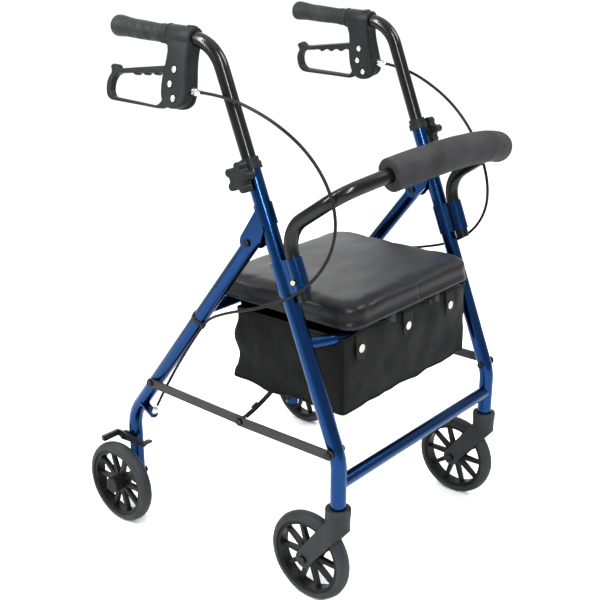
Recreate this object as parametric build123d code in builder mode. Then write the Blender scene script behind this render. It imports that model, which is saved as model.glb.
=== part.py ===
from build123d import *
from math import atan, cos, degrees, pi, radians, sin, sqrt, tan
import os

# Four-wheeled folding walker with a seat, hand brakes, a basket bag and a padded back bow.
# Millimetres. +Z is up, the walker rolls toward -Y, X is its width with X = 0 in the middle.
# The origin lies on the floor under the centre of the bounding box. "right" is the user's
# right hand, at negative X, because the user walks behind the frame and faces -Y.

# ---- driving dimensions -------------------------------------------------------------------
SIDES = {"right": -1, "left": 1}

wheel_radius = 76.2
tyre_width = 24.8
tyre_inner_radius = 62.0
leg_x = 220.0
rear_wheel_x = 262.5
front_axle_y = -186.5
rear_axle_y = 228.0

tube_radius = 12.7
tube_bore = 11.25
handle_radius = 11.1
handle_bore = 9.6
bar_radius = 9.5
lower_bar_radius = 11.0
bow_radius = 11.0
bow_bore = 9.5

stem_y = -241.5
leg_foot_z = 172.0
knee_z = 266.0
leg_lean = radians(21.7)
leg_top_z = 694.0

pivot_y = -72.0
pivot_z = 581.0
rear_lean = radians(38.2)
rear_foot_z = 60.0

lower_bar_z = 225.5
front_bar_y = -202.5
front_bar_z = 438.0
rear_bar_z = 445.5

seat_half_width = 180.0
seat_front_y = -234.2
seat_rear_y = 77.5
seat_board_z = 455.3
seat_board_thickness = 5.0
seat_top_z = 493.0

bag_half_width = 174.0
bag_front_y = -215.5
bag_rear_y = 14.5
bag_bottom_z = 316.0
bag_rim_z = 427.0
bag_wall = 2.4

socket_y = -155.5
socket_z = 560.0
socket_length = 52.0
bow_plane_y = -168.5
bow_plane_z = 631.0
bow_rise = atan(0.69)
bow_reach = 133.0
bow_front_radius = 500.0
bow_corner_radius = 50.0
foam_radius = 25.4

collar_top_z = 707.0
knob_z = 684.0
handle_bottom_z = 582.0
grip_axis_y = -1.2
grip_axis_z = 869.9
grip_rise = radians(3.3)
grip_start = 89.0
grip_end = 216.0
housing_start = 38.0
housing_end = 88.6
housing_tilt = radians(11.7)

brace_z = 280.0
brace_front_y = -235.5
brace_middle_y = -53.0
brace_middle_z = 278.5
brace_rear_z = 282.5
brace_height = 16.0
brace_thickness = 3.0

stop_y = 170.6
stop_z = 217.8
stop_lean = radians(30)
tab_thickness = 4.0
brake_pivot_y = 245.5
brake_pivot_z = 152.0
bolt_radius = 3.0
running = 0.05
clear = 0.3


# ---- where the main axes run --------------------------------------------------------------
def front_leg_y(z):
    """Y of the slanting part of a front leg's axis at height z."""
    return stem_y + tan(leg_lean) * (z - knee_z)


def rear_leg_y(z):
    """Y of the slanting part of a rear leg's axis at height z."""
    return pivot_y + tan(rear_lean) * (pivot_z - z)


def leg_plane(x, z, setback=0.0):
    """Plane square to a front leg at height z, its local y axis pointing back."""
    normal = Vector(0, sin(leg_lean), cos(leg_lean))
    origin = Vector(x, front_leg_y(z) + setback, z)
    return Plane(origin, x_dir=(-1, 0, 0), z_dir=normal)


def side_plane(x, y=0.0, z=0.0):
    """Plane across the width at x, with its sketch axes along +Y and +Z."""
    return Plane((x, y, z), x_dir=(0, 1, 0), z_dir=(1, 0, 0))


def swept_tube(points, bend, outer, inner=0.0):
    """Round tube along straight runs joined by tangent arcs; inner is the bore radius."""
    with BuildPart() as tube:
        with BuildLine() as route:
            FilletPolyline(*points, radius=bend)
        with BuildSketch(Plane(route.line @ 0, z_dir=route.line % 0)):
            Circle(outer)
            if inner > 0:
                Circle(inner, mode=Mode.SUBTRACT)
        sweep()
    return tube


def write(piece, name):
    """Label a finished piece and write its file."""
    piece.part.label = name
    export_step(piece.part, f"parts/{name}.step")


os.makedirs("parts", exist_ok=True)

rear_bar_y = rear_leg_y(rear_bar_z)
brace_rear_y = rear_leg_y(brace_rear_z)
rear_knee_z = pivot_z - (rear_axle_y - pivot_y) / tan(rear_lean)

front_leg_cores = []
rear_leg_cores = []


# ---- front legs: straight tubes that bend upright above the casters ------------------------
knee_radius = 90.0
knob_y = front_leg_y(knob_z)
for side, s in SIDES.items():
    x = s * leg_x
    points = [
        (x, stem_y, leg_foot_z),
        (x, stem_y, knee_z),
        (x, front_leg_y(leg_top_z), leg_top_z),
    ]
    front_leg_cores.append(swept_tube(points, knee_radius, tube_radius).part)
    leg_tube = swept_tube(points, knee_radius, tube_radius, tube_bore).part
    with BuildPart() as front_leg:
        add(leg_tube)
        # cross hole for the brace bolt, and the hole for the height bolt in the outer wall
        with BuildSketch(side_plane(x, brace_front_y, brace_z)):
            Circle(bolt_radius)
        extrude(amount=2 * tube_radius, both=True, mode=Mode.SUBTRACT)
        with BuildSketch(side_plane(x, knob_y, knob_z)):
            Circle(bolt_radius + running)
        extrude(amount=s * 2 * tube_radius, mode=Mode.SUBTRACT)
    write(front_leg, f"front_leg_{side}")


# ---- rear legs: they hang from the fold pivots and carry the rear wheels -------------------
rear_knee_radius = 80.0
rear_head = 13.0
for side, s in SIDES.items():
    x = s * leg_x
    points = [
        (x, rear_axle_y, rear_foot_z),
        (x, rear_axle_y, rear_knee_z),
        (x, pivot_y - rear_head * sin(rear_lean), pivot_z + rear_head * cos(rear_lean)),
    ]
    rear_core = swept_tube(points, rear_knee_radius, tube_radius).part
    rear_leg_cores.append(rear_core)
    leg_tube = swept_tube(points, rear_knee_radius, tube_radius, tube_bore).part
    with BuildPart() as rear_leg:
        add(leg_tube)
        # holes for the fold pivot, the brace bolt and the wheel axle
        for y, z, hole in (
            (pivot_y, pivot_z, bolt_radius + running),
            (brace_rear_y, brace_rear_z, bolt_radius),
            (rear_axle_y, wheel_radius, bolt_radius + 1.0),
        ):
            with BuildSketch(side_plane(x, y, z)):
                Circle(hole)
            extrude(amount=2 * tube_radius, both=True, mode=Mode.SUBTRACT)
    write(rear_leg, f"rear_leg_{side}")


# ---- lugs welded to the rear legs: cable stops in front, brake pivots behind ---------------
stop_x = leg_x + 5.0
stop_hole = 3.2
stop_half_width = 8.0
lug_inner_x = leg_x + 8.5
lug_outer_x = leg_x + 13.2


def stop_plane(s, offset=0.0):
    """Plane of a cable stop, square to the cable that comes down to it."""
    normal = Vector(0, -sin(stop_lean), cos(stop_lean))
    origin = Vector(s * stop_x, stop_y, stop_z) + normal * offset
    return Plane(origin, x_dir=(1, 0, 0), z_dir=normal)


with BuildPart() as rear_leg_lugs:
    for s in SIDES.values():
        with BuildSketch(stop_plane(s, -tab_thickness)):
            Circle(stop_half_width)
            with Locations((0, 16)):
                Rectangle(2 * stop_half_width, 32)
            Circle(stop_hole, mode=Mode.SUBTRACT)
        extrude(amount=tab_thickness)
        with BuildSketch(side_plane(s * lug_inner_x)):
            with BuildLine():
                Polyline(
                    (rear_axle_y, brake_pivot_z - 9),
                    (brake_pivot_y, brake_pivot_z - 9),
                    (brake_pivot_y, brake_pivot_z + 9),
                    (rear_axle_y, brake_pivot_z + 12),
                    close=True,
                )
            make_face()
            with Locations((brake_pivot_y, brake_pivot_z)):
                Circle(9)
                Circle(bolt_radius, mode=Mode.SUBTRACT)
        extrude(amount=s * (lug_outer_x - lug_inner_x))
    for core in rear_leg_cores:
        add(core, mode=Mode.SUBTRACT)
write(rear_leg_lugs, "rear_leg_lugs")


# ---- cross bars ---------------------------------------------------------------------------
with BuildPart() as lower_front_bar:
    with BuildSketch(side_plane(-leg_x, stem_y, lower_bar_z)):
        Circle(lower_bar_radius)
        Circle(lower_bar_radius - 1.5, mode=Mode.SUBTRACT)
    extrude(amount=2 * leg_x)
    for core in front_leg_cores:
        add(core, mode=Mode.SUBTRACT)
write(lower_front_bar, "lower_front_bar")

# The seat's front bar bows forward from the legs, and its straight middle is the seat hinge.
bar_straight_x = 150.0
bowed_bar = swept_tube(
    [
        (-leg_x, front_leg_y(front_bar_z), front_bar_z),
        (-bar_straight_x, front_bar_y, front_bar_z),
        (bar_straight_x, front_bar_y, front_bar_z),
        (leg_x, front_leg_y(front_bar_z), front_bar_z),
    ],
    60.0,
    bar_radius,
    bar_radius - 1.5,
)
with BuildPart() as seat_front_bar:
    add(bowed_bar.part)
    for core in front_leg_cores:
        add(core, mode=Mode.SUBTRACT)
write(seat_front_bar, "seat_front_bar")

with BuildPart() as seat_rear_bar:
    with BuildSketch(side_plane(-leg_x, rear_bar_y, rear_bar_z)):
        Circle(bar_radius)
        Circle(bar_radius - 1.5, mode=Mode.SUBTRACT)
    extrude(amount=2 * leg_x)
    for core in rear_leg_cores:
        add(core, mode=Mode.SUBTRACT)
write(seat_rear_bar, "seat_rear_bar")


# ---- fold brackets: a band round the front leg with two cheeks that hold the rear leg ------
cheek_inner = 13.0
cheek_outer = 14.8
bracket_bottom_z = 611.0
bracket_length = 34.0
with BuildPart() as fold_brackets:
    for s in SIDES.values():
        x = s * leg_x
        with BuildSketch(leg_plane(x, bracket_bottom_z)):
            Circle(cheek_outer)
            Circle(tube_radius, mode=Mode.SUBTRACT)
        extrude(amount=bracket_length)
        for face_x in (x - cheek_outer, x + cheek_inner):
            with BuildSketch(side_plane(face_x)):
                with BuildLine():
                    Polyline(
                        (front_leg_y(639), 639),
                        (pivot_y + 13.5, pivot_z + 7),
                        (pivot_y - 4, pivot_z - 14),
                        (-100, 588.5),
                        (front_leg_y(606), 606),
                        close=True,
                    )
                make_face()
                with Locations((pivot_y, pivot_z)):
                    Circle(14.5)
                    Circle(bolt_radius, mode=Mode.SUBTRACT)
            extrude(amount=cheek_outer - cheek_inner)
write(fold_brackets, "fold_brackets")


# ---- back bow sockets: a sheet clamp round the leg and the socket for the bow --------------
socket_inner = bow_radius + running
socket_outer = 13.2
socket_setback = socket_y - front_leg_y(socket_z)
button_z = 538.0
button_y = socket_y + tan(leg_lean) * (button_z - socket_z)
socket_bottom_z = socket_z - socket_length * cos(leg_lean)
web_height = 9.0
with BuildPart() as back_sockets:
    for s in SIDES.values():
        x = s * leg_x
        base = leg_plane(x, socket_bottom_z)
        spacing = -socket_setback * cos(leg_lean)
        with BuildSketch(base):
            with BuildLine():
                Polyline(
                    (-web_height, 0),
                    (web_height, 0),
                    (web_height, spacing),
                    (-web_height, spacing),
                    close=True,
                )
            make_face()
            Circle(cheek_outer)
            with Locations((0, spacing)):
                Circle(socket_outer)
            Circle(tube_radius, mode=Mode.SUBTRACT)
            with Locations((0, spacing)):
                Circle(socket_inner, mode=Mode.SUBTRACT)
        extrude(amount=socket_length)
        with BuildSketch(side_plane(x, button_y, button_z)):
            Circle(2.5 + running)
        extrude(amount=s * 2 * socket_outer, mode=Mode.SUBTRACT)
write(back_sockets, "back_sockets")

# Brass snap buttons in the outer walls of the sockets.
button_stem = (12.9, 15.0)
button_head = (15.0, 18.5)
for side, s in SIDES.items():
    with BuildPart() as snap_button:
        for (start, end), radius in ((button_stem, 2.5), (button_head, 4.2)):
            with BuildSketch(side_plane(s * (leg_x + start), button_y, button_z)):
                Circle(radius)
            extrude(amount=s * (end - start))
        rim = snap_button.faces().sort_by(Axis.X)[0 if s < 0 else -1].edges()
        fillet(rim, 2.4)
    write(snap_button, f"snap_button_{side}")


# ---- height collars: stepped bushings on top of the legs, with a boss for the height bolt ---
collar_height = 18.0
collar_step = 10.0
boss_radius = 8.0
boss_length = 7.5
with BuildPart() as height_collars:
    for s in SIDES.values():
        x = s * leg_x
        collar_bottom_z = collar_top_z - collar_height * cos(leg_lean)
        base = leg_plane(x, collar_bottom_z)
        with BuildSketch(base):
            Circle(16.2)
        extrude(amount=collar_step)
        with BuildSketch(base.offset(collar_step)):
            Circle(14.2)
        extrude(amount=collar_height - collar_step)
        with BuildSketch(base):
            Circle(handle_radius + running)
        extrude(amount=collar_height, mode=Mode.SUBTRACT)
        add(front_leg_cores[0 if s < 0 else 1], mode=Mode.SUBTRACT)
        with BuildSketch(side_plane(s * (leg_x + tube_radius), knob_y, knob_z)):
            Circle(boss_radius)
            Circle(bolt_radius + running, mode=Mode.SUBTRACT)
        extrude(amount=s * boss_length)
write(height_collars, "height_collars")

# Star knobs: five lobes round a hub, on a bolt whose tip stops just short of the handle tube.
knob_start = leg_x + tube_radius + boss_length + clear
knob_thickness = 17.0
lobe_count = 5
for side, s in SIDES.items():
    with BuildPart() as star_knob:
        with BuildSketch(side_plane(s * knob_start, knob_y, knob_z)) as star:
            Circle(15)
            with PolarLocations(17.5, lobe_count, start_angle=18):
                Circle(6.5)
            fillet(star.vertices(), 4.0)
        extrude(amount=s * knob_thickness)
        fillet(star_knob.edges().group_by(Axis.X)[0 if s < 0 else -1], 1.5)
        tip_x = leg_x + handle_radius + 2 * clear
        with BuildSketch(side_plane(s * tip_x, knob_y, knob_z)):
            Circle(bolt_radius)
        extrude(amount=s * (knob_start - tip_x + 1))
    write(star_knob, f"star_knob_{side}")


# ---- frame fasteners ------------------------------------------------------------------------
def cross_bolt(s, y, z, inner_end, outer_end, head=6.0, head_height=3.0, shank=bolt_radius):
    """Bolt across a leg: inner_end and outer_end are distances out from the leg's middle plane."""
    x = s * leg_x
    with BuildPart() as bolt:
        with BuildSketch(side_plane(x + s * inner_end, y, z)):
            Circle(shank)
        extrude(amount=s * (outer_end - inner_end))
        for start, amount in ((inner_end, -s * head_height), (outer_end, s * head_height)):
            with BuildSketch(side_plane(x + s * start, y, z)):
                Circle(head)
            extrude(amount=amount)
    return bolt.part


def write_group(pieces, name):
    """Write like fasteners as one node of separate solids."""
    with BuildPart() as group:
        for piece in pieces:
            add(piece)
    write(group, name)


link_inner_x = leg_x + tube_radius + 0.7
link_outer_x = link_inner_x + brace_thickness + clear
front_link_end = link_outer_x + brace_thickness + clear - leg_x
rear_link_end = link_inner_x + brace_thickness + clear - leg_x
front_bolts = []
for s in SIDES.values():
    front_bolts.append(cross_bolt(s, pivot_y, pivot_z, -cheek_outer, cheek_outer))
    front_bolts.append(cross_bolt(s, brace_front_y, brace_z, -tube_radius, front_link_end))
with BuildPart() as brace_spacers:
    for s in SIDES.values():
        with BuildSketch(side_plane(s * (leg_x + tube_radius), brace_front_y, brace_z)):
            Circle(6)
            Circle(bolt_radius, mode=Mode.SUBTRACT)
        extrude(amount=s * (link_outer_x - clear - leg_x - tube_radius))
write_group([*front_bolts, brace_spacers.part], "front_frame_bolts")


# ---- side braces: two flat links on each side that meet at a middle pivot --------------------
def link_bars(x_start, y0, z0, y1, z1, bore0, bore1):
    """A pair of flat links, one on each side, from (y0, z0) to (y1, z1)."""
    angle = degrees(atan((z1 - z0) / (y1 - y0)))
    length = sqrt((y1 - y0) ** 2 + (z1 - z0) ** 2)
    with BuildPart() as links:
        for s in SIDES.values():
            middle = side_plane(s * x_start, (y0 + y1) / 2, (z0 + z1) / 2)
            with BuildSketch(middle):
                with Locations(Location((0, 0, 0), (0, 0, angle))):
                    SlotCenterToCenter(length, brace_height)
                    with Locations((-length / 2, 0)):
                        Circle(bore0, mode=Mode.SUBTRACT)
                    with Locations((length / 2, 0)):
                        Circle(bore1, mode=Mode.SUBTRACT)
            extrude(amount=s * brace_thickness)
    return links


hole = bolt_radius + running
middle = (brace_middle_y, brace_middle_z)
rear_links = link_bars(link_inner_x, *middle, brace_rear_y, brace_rear_z, bolt_radius, hole)
write(rear_links, "brace_rear_links")
front_links = link_bars(link_outer_x, brace_front_y, brace_z, *middle, hole, bolt_radius)
write(front_links, "brace_front_links")

# The middle pivots: a headed stub in each front link and a nut with a stub in each rear link.
with BuildPart() as middle_bolts:
    for s in SIDES.values():
        with BuildSketch(side_plane(s * link_outer_x, *middle)):
            Circle(bolt_radius)
        extrude(amount=s * brace_thickness)
        with BuildSketch(side_plane(s * (link_outer_x + brace_thickness), *middle)):
            Circle(6)
        extrude(amount=s * 3)
write(middle_bolts, "brace_middle_bolts")
with BuildPart() as middle_nuts:
    for s in SIDES.values():
        with BuildSketch(side_plane(s * link_inner_x, *middle)):
            Circle(bolt_radius)
        extrude(amount=s * brace_thickness)
        with BuildSketch(side_plane(s * link_inner_x, *middle)):
            RegularPolygon(6, 6)
        extrude(amount=-s * 5)
write(middle_nuts, "brace_middle_nuts")


# ---- wheels -----------------------------------------------------------------------------------
spoke_count = 10
rim_width = 20.0
spoke_root = 9.5
spoke_tip = 5.5
spoke_depth = 8.0
hub_radius = 13.5
hub_half = 13.6
cap_depth = 8.5
axle_radius = 4.0


def tyre(x, y):
    """Solid tyre with a rounded tread."""
    with BuildPart() as ring:
        with BuildSketch(Plane((x, y, wheel_radius), x_dir=(1, 0, 0), z_dir=(0, -1, 0))):
            middle_radius = (wheel_radius + tyre_inner_radius) / 2
            with Locations((0, middle_radius)):
                Rectangle(tyre_width, wheel_radius - tyre_inner_radius)
            fillet(vertices().group_by(Axis.Y)[-1], 7.0)
        revolve(axis=Axis((x, y, wheel_radius), (1, 0, 0)))
    return ring


def rim(x, y):
    """Moulded rim, ten tapered spokes and a bored hub."""
    with BuildPart() as wheel:
        with BuildSketch(side_plane(x, y, wheel_radius)):
            Circle(tyre_inner_radius)
            Circle(tyre_inner_radius - 5.5, mode=Mode.SUBTRACT)
        extrude(amount=rim_width / 2, both=True)
        reach = tyre_inner_radius - hub_radius
        with BuildSketch(side_plane(x, y, wheel_radius)):
            with PolarLocations(hub_radius - 3 + reach / 2, spoke_count):
                Polygon(
                    (-reach / 2, -spoke_root / 2),
                    (reach / 2, -spoke_tip / 2),
                    (reach / 2, spoke_tip / 2),
                    (-reach / 2, spoke_root / 2),
                )
        extrude(amount=spoke_depth / 2, both=True)
        with BuildSketch(side_plane(x, y, wheel_radius)):
            Circle(hub_radius)
        extrude(amount=hub_half, both=True)
        with BuildSketch(side_plane(x, y, wheel_radius)):
            Circle(axle_radius + running)
        extrude(amount=hub_half, both=True, mode=Mode.SUBTRACT)
    return wheel


cap_start = rear_wheel_x + hub_half + 2 * clear
for side, s in SIDES.items():
    write(tyre(s * leg_x, front_axle_y), f"front_tyre_{side}")
    write(rim(s * leg_x, front_axle_y), f"front_rim_{side}")
    write(tyre(s * rear_wheel_x, rear_axle_y), f"rear_tyre_{side}")
    rear_wheel = rim(s * rear_wheel_x, rear_axle_y).part
    with BuildPart() as rear_rim:
        add(rear_wheel)
        # the hub cap, a cup that snaps over the outer end of the hub
        with BuildSketch(side_plane(s * (cap_start - 4), rear_axle_y, wheel_radius)):
            Circle(hub_radius + 1.5)
            Circle(hub_radius, mode=Mode.SUBTRACT)
        extrude(amount=s * 4)
        with BuildSketch(side_plane(s * cap_start, rear_axle_y, wheel_radius)):
            Circle(hub_radius + 1.5)
        extrude(amount=s * cap_depth)
        fillet(rear_rim.edges().group_by(Axis.X)[0 if s < 0 else -1], 3.0)
        with BuildSketch(side_plane(s * cap_start, rear_axle_y, wheel_radius)):
            Circle(axle_radius + 4)
        extrude(amount=s * (cap_depth - 2), mode=Mode.SUBTRACT)
    write(rear_rim, f"rear_rim_{side}")

# Rear axles: a bolt from each leg through a spacer and the wheel, with a nut under the cap.
spacer_end = rear_wheel_x - hub_half - clear
with BuildPart() as rear_axles:
    for s in SIDES.values():
        with BuildSketch(side_plane(s * (leg_x - tube_radius - 2), rear_axle_y, wheel_radius)):
            Circle(axle_radius)
        extrude(amount=s * (cap_start + 4 - leg_x + tube_radius + 2))
        with BuildSketch(side_plane(s * (leg_x - tube_radius), rear_axle_y, wheel_radius)):
            RegularPolygon(7, 6)
        extrude(amount=-s * 5)
        with BuildSketch(side_plane(s * (leg_x + tube_radius), rear_axle_y, wheel_radius)):
            Circle(9)
        extrude(amount=s * (spacer_end - leg_x - tube_radius))


# ---- casters: moulded forks that swivel under the front legs ---------------------------------
fork_half_width = 19.5
fork_faces = (-fork_half_width, fork_half_width)
arm_inner = 14.1
fork_top_z = 184.0
cup_radius = 20.5
crown_z = 157.0
fork_reach = 80.0
cup_floor_z = 168.0
boss_arm_radius = 15.5
wheel_gap_radius = wheel_radius + 3.0
stem_radius = 6.0
stem_length = 30.0
for side, s in SIDES.items():
    x = s * leg_x
    with BuildPart() as fork:
        with BuildSketch(side_plane(x - fork_half_width)):
            with BuildLine():
                Polyline(
                    (stem_y - fork_half_width, fork_top_z - 8),
                    (stem_y - fork_half_width, 147),
                    (stem_y - 12, 139),
                    (front_axle_y - 6, wheel_radius - 14),
                    (front_axle_y + 11, wheel_radius + 11),
                    (stem_y + 24, 146),
                    (stem_y + 11, 163),
                    (stem_y + 11, fork_top_z - 8),
                    close=True,
                )
            make_face()
            with Locations((front_axle_y, wheel_radius)):
                Circle(boss_arm_radius)
        extrude(amount=2 * fork_half_width)
        # seen from above the fork is round in front and straight along its arms
        with BuildSketch():
            with Locations((x, stem_y)):
                Circle(fork_half_width)
            with Locations((x, stem_y + fork_reach / 2)):
                Rectangle(2 * fork_half_width, fork_reach)
        extrude(amount=fork_top_z, mode=Mode.INTERSECT)
        flanks = fork.faces().sort_by(Axis.X)
        rims = flanks[0].edges() + flanks[-1].edges()
        fillet([edge for edge in rims if stem_y + 12 < edge.center().Y and edge.center().Z < 156], 1.8)
        with BuildSketch(Plane.XY.offset(crown_z)):
            with Locations((x, stem_y)):
                Circle(fork_half_width)
        extrude(amount=fork_top_z - crown_z)
        with BuildSketch(side_plane(x - arm_inner, front_axle_y, wheel_radius)):
            Circle(wheel_gap_radius)
        extrude(amount=2 * arm_inner, mode=Mode.SUBTRACT)
        with BuildSketch(Plane.XY.offset(fork_top_z - 12)):
            with Locations((x, stem_y)):
                Circle(cup_radius)
        extrude(amount=12)
        fillet(fork.edges().filter_by(GeomType.CIRCLE).group_by(Axis.Z)[-1], 2.0)
        with BuildSketch(Plane.XY.offset(cup_floor_z)):
            with Locations((x, stem_y)):
                Circle(tube_radius + 2 * clear)
        extrude(amount=fork_top_z - cup_floor_z, mode=Mode.SUBTRACT)
        with BuildSketch(Plane.XY.offset(cup_floor_z)):
            with Locations((x, stem_y)):
                Circle(stem_radius)
        extrude(amount=stem_length)
        with BuildSketch(side_plane(x - fork_half_width, front_axle_y, wheel_radius)):
            Circle(axle_radius)
        extrude(amount=2 * fork_half_width, mode=Mode.SUBTRACT)
    write(fork, f"caster_fork_{side}")
    axle = cross_bolt(s, front_axle_y, wheel_radius, *fork_faces, 7.0, 4.0, axle_radius)
    write_group([axle], f"caster_axle_{side}")


# ---- brake bars: pivoted behind the rear legs, with a shoe across each tyre ------------------
bar_x = leg_x + 13.5
bar_thickness = 4.0
bar_half_height = 5.5
shoe_y = 261.5
shoe_z = 154.5
shoe_end_x = 271.0
finger_y = 192.0
finger_z = 153.0
finger_inner_x = leg_x - 2.0
for side, s in SIDES.items():
    with BuildPart() as brake_bar:
        with BuildSketch(side_plane(s * bar_x)):
            with BuildLine():
                Polyline(
                    (finger_y - 5, finger_z - 4),
                    (finger_y - 5, finger_z + 4),
                    (brake_pivot_y - 12, brake_pivot_z + 7.5),
                    (brake_pivot_y + 6, brake_pivot_z + 9),
                    (shoe_y + 3, shoe_z + bar_half_height),
                    (shoe_y + 3, shoe_z - bar_half_height),
                    (shoe_y - 3, shoe_z - bar_half_height),
                    (brake_pivot_y, brake_pivot_z - 7),
                    close=True,
                )
            make_face()
            with Locations((brake_pivot_y, brake_pivot_z)):
                Circle(bolt_radius + running, mode=Mode.SUBTRACT)
        extrude(amount=s * bar_thickness)
        with BuildSketch(side_plane(s * bar_x, shoe_y, shoe_z)):
            Rectangle(6, 2 * bar_half_height)
        extrude(amount=s * (shoe_end_x - bar_x))
        with BuildSketch(side_plane(s * finger_inner_x, finger_y, finger_z)):
            Rectangle(10, 4)
        extrude(amount=s * (bar_x - finger_inner_x))
        fillet(brake_bar.edges().filter_by(Axis.Y).group_by(Axis.X)[0 if s < 0 else -1], 2.5)
    write(brake_bar, f"brake_bar_{side}")

rivet_faces = (lug_inner_x - leg_x, bar_x + bar_thickness + clear - leg_x)
rear_bolts = []
for s in SIDES.values():
    rear_bolts.append(cross_bolt(s, brace_rear_y, brace_rear_z, -tube_radius, rear_link_end))
    rear_bolts.append(cross_bolt(s, brake_pivot_y, brake_pivot_z, *rivet_faces, 5.5, 2.0))
write_group([*rear_bolts, rear_axles.part], "rear_frame_bolts")

# Return springs between the cable stops and the brake bars, and the cable ends in the stops.
spring_radius = 4.5
ferrule_length = 13.0
for side, s in SIDES.items():
    top = stop_plane(s, -tab_thickness - spring_radius).origin + Vector(0, 3, 0)
    bottom = Vector(s * stop_x, finger_y, finger_z + spring_radius)
    with BuildPart() as spring:
        with BuildSketch(Plane(bottom, z_dir=top - bottom)):
            Circle(spring_radius)
            Circle(spring_radius - 1.2, mode=Mode.SUBTRACT)
        extrude(amount=(top - bottom).length)
    write(spring, f"brake_spring_{side}")

with BuildPart() as cable_ferrules:
    for s in SIDES.values():
        with BuildSketch(stop_plane(s, -tab_thickness)):
            Circle(stop_hole)
        extrude(amount=tab_thickness)
        with BuildSketch(stop_plane(s)):
            Circle(5)
        extrude(amount=ferrule_length)
write(cable_ferrules, "cable_ferrules")


# ---- seat: a board on two hinge clips, and the cushion on it ----------------------------------
clip_x = (-74.0, 54.0)
clip_length = 30.0
clip_outer = 14.0
board_inset = 8.0
seat_corner = 34.0
seat_middle_y = (seat_front_y + seat_rear_y) / 2
seat_depth = seat_rear_y - seat_front_y
with BuildPart() as seat_board:
    with BuildSketch(Plane.XY.offset(seat_board_z)):
        with Locations((0, seat_middle_y)):
            RectangleRounded(
                2 * (seat_half_width - board_inset),
                seat_depth - 2 * board_inset,
                seat_corner - board_inset,
            )
    extrude(amount=seat_board_thickness)
    for x in clip_x:
        with BuildSketch(side_plane(x, front_bar_y, front_bar_z)):
            Circle(clip_outer)
            with Locations((0, (seat_board_z - front_bar_z) / 2)):
                Rectangle(2 * clip_outer, seat_board_z - front_bar_z)
            Circle(bar_radius + running, mode=Mode.SUBTRACT)
            with Locations((0, -clip_outer)):
                Rectangle(12, 2 * clip_outer - 12, mode=Mode.SUBTRACT)
        extrude(amount=clip_length)
write(seat_board, "seat_board")

with BuildPart() as seat_cushion:
    cushion_bottom_z = seat_board_z + seat_board_thickness
    with BuildSketch(Plane.XY.offset(cushion_bottom_z)):
        with Locations((0, seat_middle_y)):
            RectangleRounded(2 * seat_half_width, seat_depth, seat_corner)
    extrude(amount=seat_top_z - cushion_bottom_z)
    fillet(seat_cushion.faces().sort_by(Axis.Z)[-1].edges(), 14.0)
    fillet(seat_cushion.faces().sort_by(Axis.Z)[0].edges(), 6.0)
write(seat_cushion, "seat_cushion")


# ---- basket bag: an open box that hangs on three loops in front and three tabs behind ---------
tab_x = (-137.0, -10.0, 117.0)
tab_width = 26.0
loop_outer = front_bar_y - bag_front_y + 2.0
loop_inner = loop_outer - 2.0
bag_middle_y = (bag_front_y + bag_rear_y) / 2
bag_depth = bag_rear_y - bag_front_y
tab_bottom_z = 403.0
with BuildPart() as storage_bag:
    with BuildSketch(Plane.XY.offset(bag_bottom_z)):
        with Locations((0, bag_middle_y)):
            RectangleRounded(2 * bag_half_width, bag_depth, 10)
    extrude(amount=bag_rim_z - bag_bottom_z)
    with BuildSketch(Plane.XY.offset(bag_bottom_z + bag_wall)):
        with Locations((0, bag_middle_y)):
            RectangleRounded(2 * (bag_half_width - bag_wall), bag_depth - 2 * bag_wall, 8)
    extrude(amount=bag_rim_z - bag_bottom_z, mode=Mode.SUBTRACT)
    rear_tab_end = rear_bar_y - bar_radius - 2 * clear
    for x in tab_x:
        with BuildSketch(Plane.XY.offset(bag_rim_z - 4)):
            with Locations((x, (bag_rear_y - 1 + rear_tab_end) / 2)):
                Rectangle(tab_width, rear_tab_end - bag_rear_y + 1)
        extrude(amount=2)
    # the front loops: webbing round the seat's front bar, with a tab down the front wall
    for x in tab_x:
        with BuildSketch(side_plane(x - tab_width / 2)):
            with Locations((front_bar_y, front_bar_z)):
                Circle(loop_outer)
                Circle(loop_inner, mode=Mode.SUBTRACT)
                with Locations((0, -loop_outer)):
                    Rectangle(14, 2 * loop_outer - 10, mode=Mode.SUBTRACT)
            with Locations((bag_front_y - 1, (tab_bottom_z + front_bar_z) / 2)):
                Rectangle(2, front_bar_z - tab_bottom_z)
        extrude(amount=tab_width)
write(storage_bag, "storage_bag")

snap_z = 418.0
with BuildPart() as bag_snaps:
    for x in tab_x:
        with BuildSketch(Plane.XZ.offset(2 - bag_front_y)):
            with Locations((x, snap_z)):
                Circle(6)
        extrude(amount=2.5)
    fillet(bag_snaps.edges().group_by(Axis.Y)[0], 1.2)
write(bag_snaps, "bag_snaps")

# Stay straps from the bag's lower edges to the middle pivots of the side braces.
strap_start_y = -70.0
strap_width = 9.0
with BuildPart() as bag_straps:
    for s in SIDES.values():
        start = Vector(s * (bag_half_width + 1.8), strap_start_y, bag_bottom_z + 2)
        end = Vector(s * (link_inner_x - 7.0), brace_middle_y, brace_middle_z + 3)
        with BuildSketch(Plane(start, x_dir=(0, 1, 0), z_dir=end - start)):
            Rectangle(strap_width, 2)
        extrude(amount=(end - start).length)
write(bag_straps, "bag_straps")


# ---- back bow: a bent tube lifted out of its sockets, with a foam sleeve ----------------------
# The front of the bow is one large arc; a corner arc turns it into each arm.
big_centre_v = bow_reach - bow_front_radius
corner_x = leg_x - bow_corner_radius
corner_v = big_centre_v + sqrt((bow_front_radius - bow_corner_radius) ** 2 - corner_x**2)
meet_scale = bow_front_radius / (bow_front_radius - bow_corner_radius)
meet_x = corner_x * meet_scale
meet_v = big_centre_v + (corner_v - big_centre_v) * meet_scale


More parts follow.
